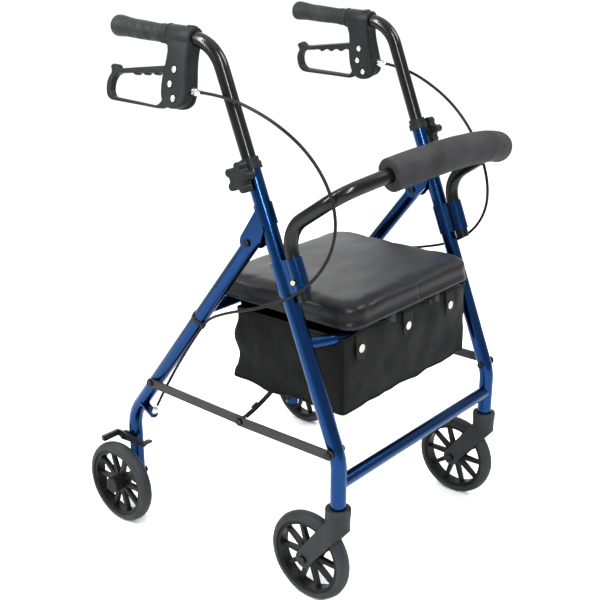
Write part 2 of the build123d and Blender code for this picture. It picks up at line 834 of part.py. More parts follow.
def corner_point(angle):
    """Point on the left corner arc of the bow, at an angle up from the arm."""
    x = corner_x + bow_corner_radius * cos(radians(angle))
    return x, corner_v + bow_corner_radius * sin(radians(angle))


corner_mid = corner_point(33)

# The arms bend down into the sockets; the apex is where an arm's slope meets the socket axis.
socket_slope = tan(leg_lean)
bow_slope = tan(bow_rise)
apex_y = (socket_y + socket_slope * (bow_plane_z + bow_slope * bow_plane_y - socket_z)) / (
    1 + socket_slope * bow_slope
)
apex_z = bow_plane_z - bow_slope * (apex_y - bow_plane_y)
arm_turn = leg_lean + radians(90) - bow_rise
arm_bend_radius = 50.0
arm_tangent = arm_bend_radius * tan(arm_turn / 2)
bow_foot_z = socket_z - socket_length * cos(leg_lean) - 3.0
bow_foot_y = socket_y + socket_slope * (bow_foot_z - socket_z)


def bow_point(x, v):
    """Point of the bow's sloping plane, v along the slope from its lower edge."""
    return Vector(x, bow_plane_y - v * cos(bow_rise), bow_plane_z + v * sin(bow_rise))


def arm_points(s):
    """Foot, bend start, bend middle and bend end of one arm."""
    x = s * leg_x
    down = Vector(0, -sin(leg_lean), -cos(leg_lean))
    along = Vector(0, -cos(bow_rise), sin(bow_rise))
    apex = Vector(x, apex_y, apex_z)
    bisector = (down + along).normalized()
    depth = arm_bend_radius * (1 / cos(arm_turn / 2) - 1)
    foot = Vector(x, bow_foot_y, bow_foot_z)
    return foot, apex + down * arm_tangent, apex + bisector * depth, apex + along * arm_tangent


with BuildPart() as back_bow:
    with BuildLine() as bow_route:
        foot, bend_start, bend_middle, bend_end = arm_points(-1)
        Line(foot, bend_start)
        ThreePointArc(bend_start, bend_middle, bend_end)
        Line(bend_end, bow_point(-leg_x, corner_v))
        ThreePointArc(
            bow_point(-leg_x, corner_v),
            bow_point(-corner_mid[0], corner_mid[1]),
            bow_point(-meet_x, meet_v),
        )
        ThreePointArc(bow_point(-meet_x, meet_v), bow_point(0, bow_reach), bow_point(meet_x, meet_v))
        ThreePointArc(
            bow_point(meet_x, meet_v), bow_point(*corner_mid), bow_point(leg_x, corner_v)
        )
        foot, bend_start, bend_middle, bend_end = arm_points(1)
        Line(bow_point(leg_x, corner_v), bend_end)
        ThreePointArc(bend_end, bend_middle, bend_start)
        Line(bend_start, foot)
    with BuildSketch(Plane(bow_route.line @ 0, z_dir=bow_route.line % 0)):
        Circle(bow_radius)
        Circle(bow_bore, mode=Mode.SUBTRACT)
    sweep()
write(back_bow, "back_bow")

foam_right_x = -138.0
foam_left_angle = 50.0
foam_mid_angle = 58.0


def bow_front_v(x):
    """Slope distance of the bow's large front arc at x."""
    return big_centre_v + sqrt(bow_front_radius**2 - x**2)


with BuildPart() as back_foam:
    with BuildLine() as foam_route:
        ThreePointArc(
            bow_point(foam_right_x, bow_front_v(foam_right_x)),
            bow_point(0, bow_reach),
            bow_point(meet_x, meet_v),
        )
        ThreePointArc(
            bow_point(meet_x, meet_v),
            bow_point(*corner_point(foam_mid_angle)),
            bow_point(*corner_point(foam_left_angle)),
        )
    with BuildSketch(Plane(foam_route.line @ 0, z_dir=foam_route.line % 0)):
        Circle(foam_radius)
        Circle(bow_radius, mode=Mode.SUBTRACT)
    sweep()
write(back_foam, "back_foam")


# ---- handles ------------------------------------------------------------------------------------
grip_direction = Vector(0, cos(grip_rise), sin(grip_rise))
handle_bend = 62.0


def grip_plane(x, along):
    """Plane square to the grip axis, a distance along it from the handle's bend point."""
    origin = Vector(x, grip_axis_y, grip_axis_z) + grip_direction * along
    return Plane(origin, x_dir=(-1, 0, 0), z_dir=grip_direction)


def housing_plane(s, offset=0.0):
    """Plane of a brake housing: it leans outward, its axes run back and up."""
    normal = Vector(cos(housing_tilt), 0, s * sin(housing_tilt))
    origin = Vector(s * leg_x, 0, grip_axis_z) + normal * offset
    return Plane(origin, x_dir=(0, 1, 0), z_dir=normal)


tube_end = 205.0
flange_thickness = 5.0
flange_radius = 17.0
grip_radius = 14.0
handle_cores = []
for side, s in SIDES.items():
    x = s * leg_x
    end = Vector(x, grip_axis_y, grip_axis_z) + grip_direction * tube_end
    points = [
        (x, front_leg_y(handle_bottom_z), handle_bottom_z),
        (x, grip_axis_y, grip_axis_z),
        end,
    ]
    handle_cores.append(swept_tube(points, handle_bend, handle_radius).part)
    handle_tube = swept_tube(points, handle_bend, handle_radius, handle_bore)
    write(handle_tube, f"handle_tube_{side}")

    with BuildPart() as grip:
        with BuildSketch(grip_plane(x, grip_start)):
            Circle(flange_radius)
        extrude(amount=flange_thickness)
        with BuildSketch(grip_plane(x, grip_start + flange_thickness)):
            Circle(grip_radius)
        extrude(amount=grip_end - grip_start - flange_thickness)
        with BuildSketch(grip_plane(x, grip_start)):
            Circle(handle_radius)
        extrude(amount=tube_end - grip_start, mode=Mode.SUBTRACT)
        fillet(grip.faces().sort_by(Axis.Y)[-1].edges(), 5.0)
    write(grip, f"grip_{side}")

# Brake housings: a clamp round the handle tube with a flat body below that leans outward.
housing_half = 14.5
clamp_radius = 16.5
slot_half = 6.4
lever_pivot = (61.4, -46.0)
bolt_places = (lever_pivot, (67.6, -68.0), (57.6, -88.7))
adjuster_v = -74.6
adjuster_start = 33.9
for side, s in SIDES.items():
    x = s * leg_x
    with BuildPart() as housing:
        with BuildSketch(housing_plane(s, -housing_half)):
            with BuildLine():
                Line((38, 0), (35.5, -40))
                Line((35.5, -40), (34, -78))
                ThreePointArc((34, -78), (45, -100), (68, -104))
                ThreePointArc((68, -104), (82, -96), (88, -78))
                Line((88, -78), (88, -60))
                ThreePointArc((88, -60), (84, -38), (82, -14))
                Line((82, -14), (82, 0))
                Line((82, 0), (38, 0))
            make_face()
        extrude(amount=2 * housing_half)
        with BuildSketch(grip_plane(x, housing_start)):
            Circle(clamp_radius)
        extrude(amount=housing_end - housing_start)
        with BuildSketch(housing_plane(s, -6)):
            with Locations((47.5, 17.5)):
                Rectangle(11, 7)
        extrude(amount=12)
        # the lever's slot, open to the rear
        with BuildSketch(housing_plane(s, -slot_half)):
            with BuildLine():
                Polyline((50, -36), (95, -30), (95, -112), (76, -112), (74, -78), (50, -57), close=True)
            make_face()
        extrude(amount=2 * slot_half, mode=Mode.SUBTRACT)
        for place in bolt_places:
            with BuildSketch(housing_plane(s, -housing_half)):
                with Locations(place):
                    Circle(bolt_radius)
            extrude(amount=2 * housing_half, mode=Mode.SUBTRACT)
        add(handle_cores[0 if s < 0 else 1], mode=Mode.SUBTRACT)
    write(housing, f"brake_housing_{side}")

    with BuildPart() as housing_bolts:
        for place in bolt_places:
            with BuildSketch(housing_plane(s, -housing_half)):
                with Locations(place):
                    Circle(bolt_radius)
            extrude(amount=2 * housing_half)
            for start, amount in ((-housing_half, -2.0), (housing_half, 2.0)):
                with BuildSketch(housing_plane(s, start)):
                    with Locations(place):
                        Circle(5)
                extrude(amount=amount)
    write(housing_bolts, f"housing_bolts_{side}")

# Barrel adjusters on the front of the housings, where the cables leave.
adjuster_length = 20.0
adjuster_thread = 6.0
adjuster_planes = []
for side, s in SIDES.items():
    centre = housing_plane(s).from_local_coords(Vector(adjuster_start, adjuster_v, 0))
    plane = Plane(centre, x_dir=(1, 0, 0), z_dir=(0, -1, 0))
    adjuster_planes.append(plane.offset(adjuster_length))
    with BuildPart() as adjuster:
        with BuildSketch(plane):
            Circle(6.5)
        extrude(amount=adjuster_length - adjuster_thread)
        with BuildSketch(plane.offset(adjuster_length - adjuster_thread)):
            Circle(4)
        extrude(amount=adjuster_thread)
    write(adjuster, f"barrel_adjuster_{side}")

# Brake levers: closed loops whose hub turns on the top bolt inside the housing.
lever_half = 6.0
for side, s in SIDES.items():
    with BuildPart() as lever:
        with BuildSketch(housing_plane(s, -lever_half)):
            with BuildLine():
                Line((84, -40), (196, -54))
                ThreePointArc((196, -54), (214, -62), (222, -80))
                ThreePointArc((222, -80), (220, -96), (208, -104))
                Line((208, -104), (96, -107))
                ThreePointArc((96, -107), (84, -102), (78, -90))
                Line((78, -90), (76, -46))
                Line((76, -46), (84, -40))
            make_face()
            with BuildLine(mode=Mode.ADD):
                Line((93, -51), (194, -60))
                ThreePointArc((194, -60), (207, -67), (214, -80))
                ThreePointArc((214, -80), (213, -93), (204, -99))
                Line((204, -99), (104, -103))
                ThreePointArc((104, -103), (92, -96), (88, -84))
                Line((88, -84), (93, -51))
            make_face(mode=Mode.SUBTRACT)
            with BuildLine():
                Polyline((61.4, -38.5), (84, -40), (84, -55), (61.4, -53.5), close=True)
            make_face()
            with Locations(lever_pivot):
                Circle(7.5)
                Circle(bolt_radius + running, mode=Mode.SUBTRACT)
            with Locations((207, -54)):
                Circle(6)
        extrude(amount=2 * lever_half)
    write(lever, f"brake_lever_{side}")


# ---- brake cables: from the adjusters round to the clips and down the rear legs to the stops -------
cable_radius = 2.4


def fillet_radii(points):
    """The largest even radius for each corner: 0.45 of the shorter run over tan of half the turn."""
    radii = []
    for before, corner, after in zip(points, points[1:], points[2:]):
        run_in = corner - before
        run_out = after - corner
        half_turn = radians(run_in.get_angle(run_out)) / 2
        radii.append(0.45 * min(run_in.length, run_out.length) / tan(half_turn))
    return radii


upper_routes = {
    "right": [
        (236, -32, 796), (239, -90, 785), (240, -146, 765), (240, -196, 735), (240, -232, 694),
        (240, -248, 645), (240, -238, 596), (240, -209, 553), (240, -166, 517), (240, -108, 487),
        (238, -50, 467), (234, -2, 447),
    ],
    "left": [
        (236, -30, 791), (239, -82, 768), (240, -128, 738), (240, -165, 700), (240, -192, 655),
        (240, -209, 604), (240, -207, 556), (240, -181, 513), (240, -134, 484), (240, -84, 468),
        (238, -38, 457), (234, 0, 445),
    ],
}
lower_route = [
    (226, 30.5, 427), (226, 60.7, 387.2), (225.5, 91.3, 345.1), (225, 119.3, 303.6), (225, 142.6, 266.3),
]
cable_cores = []
for side, s in SIDES.items():
    start = adjuster_planes[len(cable_cores)].offset(clear).origin
    end = stop_plane(s, ferrule_length + clear).origin
    middle_points = [Vector(s * x, y, z) for x, y, z in upper_routes[side] + lower_route]
    points = [start, *middle_points, end]
    radii = fillet_radii(points)
    with BuildPart() as cable:
        with BuildLine() as route:
            FilletPolyline(*points, radius=radii)
        with BuildSketch(Plane(route.line @ 0, z_dir=route.line % 0)):
            Circle(cable_radius)
        sweep()
    length = route.wires()[0].length
    expected = pi * cable_radius**2 * length
    print(f"cable {side}: length {length:.0f}, volume {cable.part.volume:.0f} of {expected:.0f}")
    print("  radii", [round(radius) for radius in radii])
    cable_cores.append(cable.part)
    write(cable, f"brake_cable_{side}")

# Clips that hold the cables to the rear legs, a band round the leg with an eye.
clip_z = 424.0
clip_width = 8.0
with BuildPart() as cable_clips:
    for s in SIDES.values():
        direction = Vector(0, -sin(rear_lean), cos(rear_lean))
        plane = Plane((s * leg_x, rear_leg_y(clip_z), clip_z), x_dir=(1, 0, 0), z_dir=direction)
        with BuildSketch(plane):
            Circle(tube_radius + 1.5)
            with Locations((s * 6, -tube_radius - cable_radius)):
                Circle(cable_radius + 1.8)
        extrude(amount=clip_width)
        add(rear_leg_cores[0 if s < 0 else 1], mode=Mode.SUBTRACT)
        add(cable_cores[0 if s < 0 else 1], mode=Mode.SUBTRACT)
write(cable_clips, "cable_clips")
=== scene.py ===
import bmesh
import bpy
from math import atan2, cos, exp, hypot, pi, radians, sin, sqrt
from mathutils import Matrix, Vector, noise


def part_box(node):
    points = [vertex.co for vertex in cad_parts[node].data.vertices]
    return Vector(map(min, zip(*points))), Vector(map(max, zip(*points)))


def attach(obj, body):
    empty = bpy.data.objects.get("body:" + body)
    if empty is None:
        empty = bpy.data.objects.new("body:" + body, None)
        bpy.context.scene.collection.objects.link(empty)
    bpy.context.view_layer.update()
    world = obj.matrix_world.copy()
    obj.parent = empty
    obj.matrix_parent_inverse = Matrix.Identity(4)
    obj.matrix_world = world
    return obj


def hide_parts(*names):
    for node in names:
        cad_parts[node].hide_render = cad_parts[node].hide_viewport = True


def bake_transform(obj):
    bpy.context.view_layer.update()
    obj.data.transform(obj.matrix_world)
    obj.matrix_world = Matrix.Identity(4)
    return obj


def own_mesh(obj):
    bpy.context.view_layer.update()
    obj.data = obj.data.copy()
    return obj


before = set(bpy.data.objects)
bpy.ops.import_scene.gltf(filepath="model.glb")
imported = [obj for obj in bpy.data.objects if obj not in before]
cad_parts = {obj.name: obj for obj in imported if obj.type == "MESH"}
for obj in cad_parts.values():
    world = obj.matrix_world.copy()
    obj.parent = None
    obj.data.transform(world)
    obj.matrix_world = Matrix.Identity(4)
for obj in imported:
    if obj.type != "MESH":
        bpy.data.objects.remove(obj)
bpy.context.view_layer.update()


# ---- The room ------------------------------------------------------------------------------
# A pale seamless floor under a bright plain sky, as in a product studio. A big soft lamp
# stands over the walker's right shoulder, a long strip lamp draws the lines on the tubes,
# and a weak one lifts the far side.
scene = bpy.context.scene
camera_data = bpy.data.cameras.new("camera")
camera_data.lens = 60.6
camera_data.sensor_width = 36
camera = bpy.data.objects.new("camera", camera_data)
camera.location = (-1.2982, -1.0711, 1.0154)
camera.rotation_euler = (radians(90 - 19.83), 0, radians(-49.94))
scene.collection.objects.link(camera)
scene.camera = camera

floor_shape = bmesh.new()
bmesh.ops.create_grid(floor_shape, x_segments=2, y_segments=2, size=90)
floor_mesh = bpy.data.meshes.new("floor")
floor_shape.to_mesh(floor_mesh)
floor_shape.free()
floor = bpy.data.objects.new("floor", floor_mesh)
scene.collection.objects.link(floor)


def blank(name):
    """A new material and its empty node tree."""
    material = bpy.data.materials.new(name)
    material.use_nodes = True
    material.node_tree.nodes.clear()
    return material, material.node_tree


def arranged(rows):
    """Sets out nodes in rows, each row in the frame of its effect, the surface far right."""
    right = max(len(line) for group, line in rows) if len(rows) > 1 else 0
    for row, (group, line) in enumerate(rows):
        for column, node in enumerate(line):
            node.parent = group
            node.location = ((column + (right if row == len(rows) - 1 else 0)) * 260 - 900, 500 - row * 270)


floor_paper, tree = blank("floor_paper")
paper_place = tree.nodes.new("ShaderNodeTexCoord")
paper_place.label = "place on the paper"
paper_mottle = tree.nodes.new("ShaderNodeTexNoise")
paper_mottle.label = "faint mottle of the roll"
paper_mottle.inputs["Scale"].default_value = 1.5
paper_tone = tree.nodes.new("ShaderNodeValToRGB")
paper_tone.label = "two near whites"
paper_tone.color_ramp.elements[0].color = (0.86, 0.86, 0.865, 1)
paper_tone.color_ramp.elements[1].color = (0.9, 0.9, 0.9, 1)
paper = tree.nodes.new("ShaderNodeBsdfPrincipled")
paper.label = "matt paper"
paper.inputs["Roughness"].default_value = 0.9
paper_end = tree.nodes.new("ShaderNodeOutputMaterial")
paper_end.label = "surface"
arranged(((None, (paper_place, paper_mottle, paper_tone, paper, paper_end)),))
tree.links.new(paper_place.outputs["Object"], paper_mottle.inputs["Vector"])
tree.links.new(paper_mottle.outputs["Fac"], paper_tone.inputs["Fac"])
tree.links.new(paper_tone.outputs["Color"], paper.inputs["Base Color"])
tree.links.new(paper.outputs["BSDF"], paper_end.inputs["Surface"])
floor_mesh.materials.append(floor_paper)

sky = bpy.data.worlds.new("studio_sky")
sky.use_nodes = True
sky.node_tree.nodes["Background"].inputs["Color"].default_value = (0.97, 0.98, 1, 1)
sky.node_tree.nodes["Background"].inputs["Strength"].default_value = 0.8
scene.world = sky
scene.view_settings.view_transform = "Standard"
scene.view_settings.gamma = 0.84

for name, place, target, size, power in (
    ("behind", (1.25, 1.75, 1.25), (0, 0, 0.5), (1.6, 1.0), 11),
    ("overhead_right", (1.2, -1.2, 2.4), (0, 0, 0.5), (1.0, 1.0), 46),
    ("left_strip", (-1.5, 0.9, 1.9), (0, 0, 0.5), (0.16, 1.9), 60),
    ("front_strip", (-1.35, -1.6, 2.1), (0, 0, 0.4), (0.2, 1.9), 78),
):
    lamp_data = bpy.data.lights.new(name, "AREA")
    lamp_data.shape = "RECTANGLE"
    lamp_data.size = size[0]
    lamp_data.size_y = size[1]
    lamp_data.energy = power
    lamp = bpy.data.objects.new(name, lamp_data)
    lamp.location = place
    lamp.rotation_euler = (Vector(target) - Vector(place)).to_track_quat("-Z", "Y").to_euler()
    scene.collection.objects.link(lamp)
daylight = bpy.data.lights.new("daylight", "SUN")
daylight.energy = 1.3
daylight.angle = radians(70)
window = bpy.data.objects.new("daylight", daylight)
window.rotation_euler = (radians(-14), radians(6), 0)
scene.collection.objects.link(window)


# ---- Brake cables --------------------------------------------------------------------------
# Each is a spiral-wound housing in a smooth black jacket, 4.8 mm thick. It leaves the barrel
# adjuster forward, swings round in front of the leg, and runs through a clip down the rear
# leg to its stop, crossing the fold between the two frames as one fixed piece.
def moulded(name, dark, light, rough_low, rough_high, grain, depth, metallic=0.0, coat=0.0):
    """Moulded plastic or rubber: grained skin, cloudy tone and uneven gloss."""
    material, tree = blank(name)
    place = tree.nodes.new("ShaderNodeTexCoord")
    place.label = "place on the piece"
    tone_frame = tree.nodes.new("NodeFrame")
    tone_frame.label = "tone of the moulding"
    clouds = tree.nodes.new("ShaderNodeTexNoise")
    clouds.label = "uneven pigment"
    clouds.inputs["Scale"].default_value = 24
    clouds.inputs["Detail"].default_value = 3
    tone = tree.nodes.new("ShaderNodeValToRGB")
    tone.label = "dark to light"
    tone.color_ramp.elements[0].position = 0.3
    tone.color_ramp.elements[0].color = (*dark, 1)
    tone.color_ramp.elements[1].position = 0.72
    tone.color_ramp.elements[1].color = (*light, 1)
    gloss_frame = tree.nodes.new("NodeFrame")
    gloss_frame.label = "handled and dusty patches"
    patches = tree.nodes.new("ShaderNodeTexNoise")
    patches.label = "worn patches"
    patches.inputs["Scale"].default_value = 11
    patches.inputs["Detail"].default_value = 5
    gloss = tree.nodes.new("ShaderNodeMapRange")
    gloss.label = "shiny to matt"
    gloss.inputs["From Min"].default_value = 0.3
    gloss.inputs["From Max"].default_value = 0.7
    gloss.inputs["To Min"].default_value = rough_low
    gloss.inputs["To Max"].default_value = rough_high
    grain_frame = tree.nodes.new("NodeFrame")
    grain_frame.label = "grain from the mould"
    pebble = tree.nodes.new("ShaderNodeTexVoronoi")
    pebble.label = "spark grain"
    pebble.inputs["Scale"].default_value = grain
    relief = tree.nodes.new("ShaderNodeBump")
    relief.label = "grain depth"
    relief.inputs["Strength"].default_value = 0.35
    relief.inputs["Distance"].default_value = depth
    skin = tree.nodes.new("ShaderNodeBsdfPrincipled")
    skin.label = "moulded skin"
    skin.inputs["Metallic"].default_value = metallic
    skin.inputs["Coat Weight"].default_value = coat
    skin.inputs["Coat Roughness"].default_value = 0.18
    skin.inputs["Specular IOR Level"].default_value = 0.15
    end = tree.nodes.new("ShaderNodeOutputMaterial")
    end.label = "surface"
    arranged((
        (None, (place,)), (tone_frame, (clouds, tone)), (gloss_frame, (patches, gloss)),
        (grain_frame, (pebble, relief)), (None, (skin, end)),
    ))
    tree.links.new(place.outputs["Object"], clouds.inputs["Vector"])
    tree.links.new(place.outputs["Object"], patches.inputs["Vector"])
    tree.links.new(place.outputs["Object"], pebble.inputs["Vector"])
    tree.links.new(clouds.outputs["Fac"], tone.inputs["Fac"])
    tree.links.new(tone.outputs["Color"], skin.inputs["Base Color"])
    tree.links.new(patches.outputs["Fac"], gloss.inputs["Value"])
    tree.links.new(gloss.outputs["Result"], skin.inputs["Roughness"])
    tree.links.new(pebble.outputs["Distance"], relief.inputs["Height"])
    tree.links.new(relief.outputs["Normal"], skin.inputs["Normal"])
    tree.links.new(skin.outputs["BSDF"], end.inputs["Surface"])
    return material


def drawn(line, material):
    """The mesh of a drawn wire or roll: its wall and caps, in one material."""
    guide = bpy.data.objects.new(line.name, line)
    scene.collection.objects.link(guide)
    bpy.context.view_layer.update()
    mesh = bpy.data.meshes.new_from_object(guide.evaluated_get(bpy.context.evaluated_depsgraph_get()))
    bpy.data.objects.remove(guide)
    mesh.materials.clear()
    mesh.materials.append(material)
    mesh.shade_smooth()
    return mesh


def mounted(name, mesh):
    """Puts a finished mesh on the walker as one piece."""
    piece = bpy.data.objects.new(name, mesh)
    scene.collection.objects.link(piece)
    return piece


cable_jacket = moulded(
    "cable_jacket", (0.008, 0.008, 0.008), (0.014, 0.014, 0.014), 0.28, 0.42, 900, 0.0002
)
SIDES = {"right": -1, "left": 1}
cable_thickness = 0.0048
cable_start = (0.2351, 0.0136, 0.7968)
upper_routes = {
    "right": [
        (0.236, -0.032, 0.796), (0.239, -0.090, 0.785), (0.240, -0.146, 0.765), (0.240, -0.196, 0.735),
        (0.240, -0.232, 0.694), (0.240, -0.248, 0.645), (0.240, -0.238, 0.596), (0.240, -0.209, 0.553),
        (0.240, -0.166, 0.517), (0.240, -0.108, 0.487), (0.238, -0.050, 0.467), (0.234, -0.002, 0.447),
    ],
    "left": [
        (0.236, -0.030, 0.791), (0.239, -0.082, 0.768), (0.240, -0.128, 0.738), (0.240, -0.165, 0.700),
        (0.240, -0.192, 0.655), (0.240, -0.209, 0.604), (0.240, -0.207, 0.556), (0.240, -0.181, 0.513),
        (0.240, -0.134, 0.484), (0.240, -0.084, 0.468), (0.238, -0.038, 0.457), (0.234, 0.000, 0.445),
    ],
}
lower_route = [
    (0.226, 0.0305, 0.427), (0.226, 0.0607, 0.3872), (0.2255, 0.0913, 0.3451),
    (0.225, 0.1193, 0.3036), (0.225, 0.1426, 0.2663), (0.225, 0.1600, 0.2362),
]
for side, s in SIDES.items():
    route = [cable_start] + upper_routes[side] + lower_route
    line = bpy.data.curves.new(f"cable_line_{side}", "CURVE")
    line.dimensions = "3D"
    strand = line.splines.new("NURBS")
    strand.points.add(len(route) - 1)
    for point, (x, y, z) in zip(strand.points, route):
        point.co = (s * x, y, z, 1)
    strand.order_u = 3
    strand.use_endpoint_u = True
    strand.resolution_u = 8
    path = [vertex.co.copy() for vertex in drawn(line, cable_jacket).vertices]
    line.bevel_depth = cable_thickness / 2
    line.bevel_resolution = 4
    line.use_fill_caps = True
    cable = mounted(f"cable_{side}", drawn(line, cable_jacket))
    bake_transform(cable)
    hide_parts(f"brake_cable_{side}")


# ---- Frame tubes ---------------------------------------------------------------------------
# One-inch steel tube, bent and welded, under a deep metallic blue enamel with a clear coat.
# The handle tubes and the back bow have the same enamel in black, and the flat side braces
# a duller one without flake.
def enamel(name, deep, bright, metallic, rough_low, rough_high, coat):
    """Stoved metallic enamel: glinting flake, a faint orange peel and handling marks."""
    material, tree = blank(name)
    place = tree.nodes.new("ShaderNodeTexCoord")
    place.label = "place on the frame"
    flake_frame = tree.nodes.new("NodeFrame")
    flake_frame.label = "metal flake"
    flake = tree.nodes.new("ShaderNodeTexNoise")
    flake.label = "flakes"
    flake.inputs["Scale"].default_value = 1500
    flake.inputs["Detail"].default_value = 1
    flake_tone = tree.nodes.new("ShaderNodeValToRGB")
    flake_tone.label = "deep to bright"
    flake_tone.color_ramp.elements[0].position = 0.35
    flake_tone.color_ramp.elements[0].color = (*deep, 1)
    flake_tone.color_ramp.elements[1].position = 0.7
    flake_tone.color_ramp.elements[1].color = (*bright, 1)
    peel_frame = tree.nodes.new("NodeFrame")
    peel_frame.label = "orange peel"
    peel = tree.nodes.new("ShaderNodeTexNoise")
    peel.label = "ripple of the sprayed coat"
    peel.inputs["Scale"].default_value = 260
    peel.inputs["Detail"].default_value = 2
    ripple = tree.nodes.new("ShaderNodeBump")
    ripple.label = "ripple depth"
    ripple.inputs["Strength"].default_value = 0.06
    ripple.inputs["Distance"].default_value = 0.0006
    marks_frame = tree.nodes.new("NodeFrame")
    marks_frame.label = "handling marks"
    marks = tree.nodes.new("ShaderNodeTexNoise")
    marks.label = "smears and dust"
    marks.inputs["Scale"].default_value = 18
    marks.inputs["Detail"].default_value = 6
    gloss = tree.nodes.new("ShaderNodeMapRange")
    gloss.label = "polished to hazy"
    gloss.inputs["From Min"].default_value = 0.35
    gloss.inputs["From Max"].default_value = 0.7
    gloss.inputs["To Min"].default_value = rough_low
    gloss.inputs["To Max"].default_value = rough_high
    coatings = tree.nodes.new("ShaderNodeBsdfPrincipled")
    coatings.label = "enamel under clear coat"
    coatings.inputs["Metallic"].default_value = metallic
    coatings.inputs["Coat Weight"].default_value = coat
    coatings.inputs["Coat Roughness"].default_value = 0.06
    coatings.inputs["Specular IOR Level"].default_value = 0.3
    end = tree.nodes.new("ShaderNodeOutputMaterial")
    end.label = "surface"
    arranged((
        (None, (place,)), (flake_frame, (flake, flake_tone)), (peel_frame, (peel, ripple)),
        (marks_frame, (marks, gloss)), (None, (coatings, end)),
    ))
    tree.links.new(place.outputs["Object"], flake.inputs["Vector"])
    tree.links.new(place.outputs["Object"], peel.inputs["Vector"])
    tree.links.new(place.outputs["Object"], marks.inputs["Vector"])
    tree.links.new(flake.outputs["Fac"], flake_tone.inputs["Fac"])
    tree.links.new(flake_tone.outputs["Color"], coatings.inputs["Base Color"])
    tree.links.new(peel.outputs["Fac"], ripple.inputs["Height"])
    tree.links.new(ripple.outputs["Normal"], coatings.inputs["Normal"])
    tree.links.new(marks.outputs["Fac"], gloss.inputs["Value"])
    tree.links.new(gloss.outputs["Result"], coatings.inputs["Roughness"])
    tree.links.new(coatings.outputs["BSDF"], end.inputs["Surface"])
    return material


def dress(material, *names):
    """Gives CAD nodes their finish."""
    for name in names:
        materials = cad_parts[name].data.materials
        materials.clear()
        materials.append(material)


frame_blue = enamel("frame_blue", (0.002, 0.02, 0.066), (0.006, 0.06, 0.19), 0.94, 0.15, 0.24, 0.25)
tube_black = enamel("tube_black", (0.003, 0.003, 0.003), (0.008, 0.008, 0.008), 0.1, 0.2, 0.3, 0.12)
brace_black = enamel("brace_black", (0.012, 0.012, 0.012), (0.03, 0.03, 0.03), 0.2, 0.38, 0.52, 0.15)
dress(
    frame_blue, "front_leg_right", "front_leg_left", "rear_leg_right", "rear_leg_left",
    "lower_front_bar", "seat_front_bar", "seat_rear_bar", "fold_brackets", "back_sockets", "rear_leg_lugs",
)
dress(tube_black, "handle_tube_right", "handle_tube_left", "back_bow")
dress(brace_black, "brace_front_links", "brace_rear_links", "brake_bar_right", "brake_bar_left")


# ---- Fasteners -----------------------------------------------------------------------------
# Zinc-plated bolts, rivets, axles and ferrules, brass snap buttons in the sockets, and the
# bright barrel adjusters. Plating is never quite even: it is brushed by handling and a
# little dull in patches.
def plated(name, dull, bright, rough_low, rough_high):
    """Plated or bare metal with fine rubbing lines and cloudy patches."""
    material, tree = blank(name)
    place = tree.nodes.new("ShaderNodeTexCoord")
    place.label = "place on the fastener"
    patch_frame = tree.nodes.new("NodeFrame")
    patch_frame.label = "cloudy plating"
    patch = tree.nodes.new("ShaderNodeTexNoise")
    patch.label = "dull patches"
    patch.inputs["Scale"].default_value = 160
    patch.inputs["Detail"].default_value = 3
    tone = tree.nodes.new("ShaderNodeValToRGB")
    tone.label = "dull to bright"
    tone.color_ramp.elements[0].position = 0.3
    tone.color_ramp.elements[0].color = (*dull, 1)
    tone.color_ramp.elements[1].position = 0.65
    tone.color_ramp.elements[1].color = (*bright, 1)
    rub_frame = tree.nodes.new("NodeFrame")
    rub_frame.label = "rubbing lines"
    stretch = tree.nodes.new("ShaderNodeMapping")
    stretch.label = "lines run one way"
    stretch.inputs["Scale"].default_value = (1, 1, 9)
    rub = tree.nodes.new("ShaderNodeTexNoise")
    rub.label = "fine lines"
    rub.inputs["Scale"].default_value = 500
    gloss = tree.nodes.new("ShaderNodeMapRange")
    gloss.label = "polished to rubbed"
    gloss.inputs["To Min"].default_value = rough_low
    gloss.inputs["To Max"].default_value = rough_high
    scratch = tree.nodes.new("ShaderNodeBump")
    scratch.label = "line depth"
    scratch.inputs["Strength"].default_value = 0.1
    scratch.inputs["Distance"].default_value = 0.0001
    metal = tree.nodes.new("ShaderNodeBsdfPrincipled")
    metal.label = "metal"
    metal.inputs["Metallic"].default_value = 1.0
    end = tree.nodes.new("ShaderNodeOutputMaterial")
    end.label = "surface"
    arranged((
        (None, (place,)), (patch_frame, (patch, tone)), (rub_frame, (stretch, rub, gloss, scratch)),
        (None, (metal, end)),
    ))
    tree.links.new(place.outputs["Object"], patch.inputs["Vector"])
    tree.links.new(place.outputs["Object"], stretch.inputs["Vector"])
    tree.links.new(stretch.outputs["Vector"], rub.inputs["Vector"])
    tree.links.new(patch.outputs["Fac"], tone.inputs["Fac"])
    tree.links.new(tone.outputs["Color"], metal.inputs["Base Color"])
    tree.links.new(rub.outputs["Fac"], gloss.inputs["Value"])
    tree.links.new(rub.outputs["Fac"], scratch.inputs["Height"])
    tree.links.new(gloss.outputs["Result"], metal.inputs["Roughness"])
    tree.links.new(scratch.outputs["Normal"], metal.inputs["Normal"])
    tree.links.new(metal.outputs["BSDF"], end.inputs["Surface"])
    return material


zinc = plated("zinc", (0.42, 0.42, 0.43), (0.72, 0.72, 0.74), 0.2, 0.42)
black_oxide = plated("black_oxide", (0.015, 0.015, 0.016), (0.05, 0.05, 0.052), 0.25, 0.45)
bright_steel = plated("bright_steel", (0.62, 0.63, 0.65), (0.9, 0.9, 0.92), 0.1, 0.25)
brass = plated("brass", (0.5, 0.36, 0.16), (0.8, 0.66, 0.4), 0.15, 0.35)
dress(
    black_oxide, "front_frame_bolts", "rear_frame_bolts", "brace_middle_bolts", "brace_middle_nuts",
    "caster_axle_right", "caster_axle_left",
)
dress(zinc, "cable_ferrules")
dress(brass, "snap_button_right", "snap_button_left")


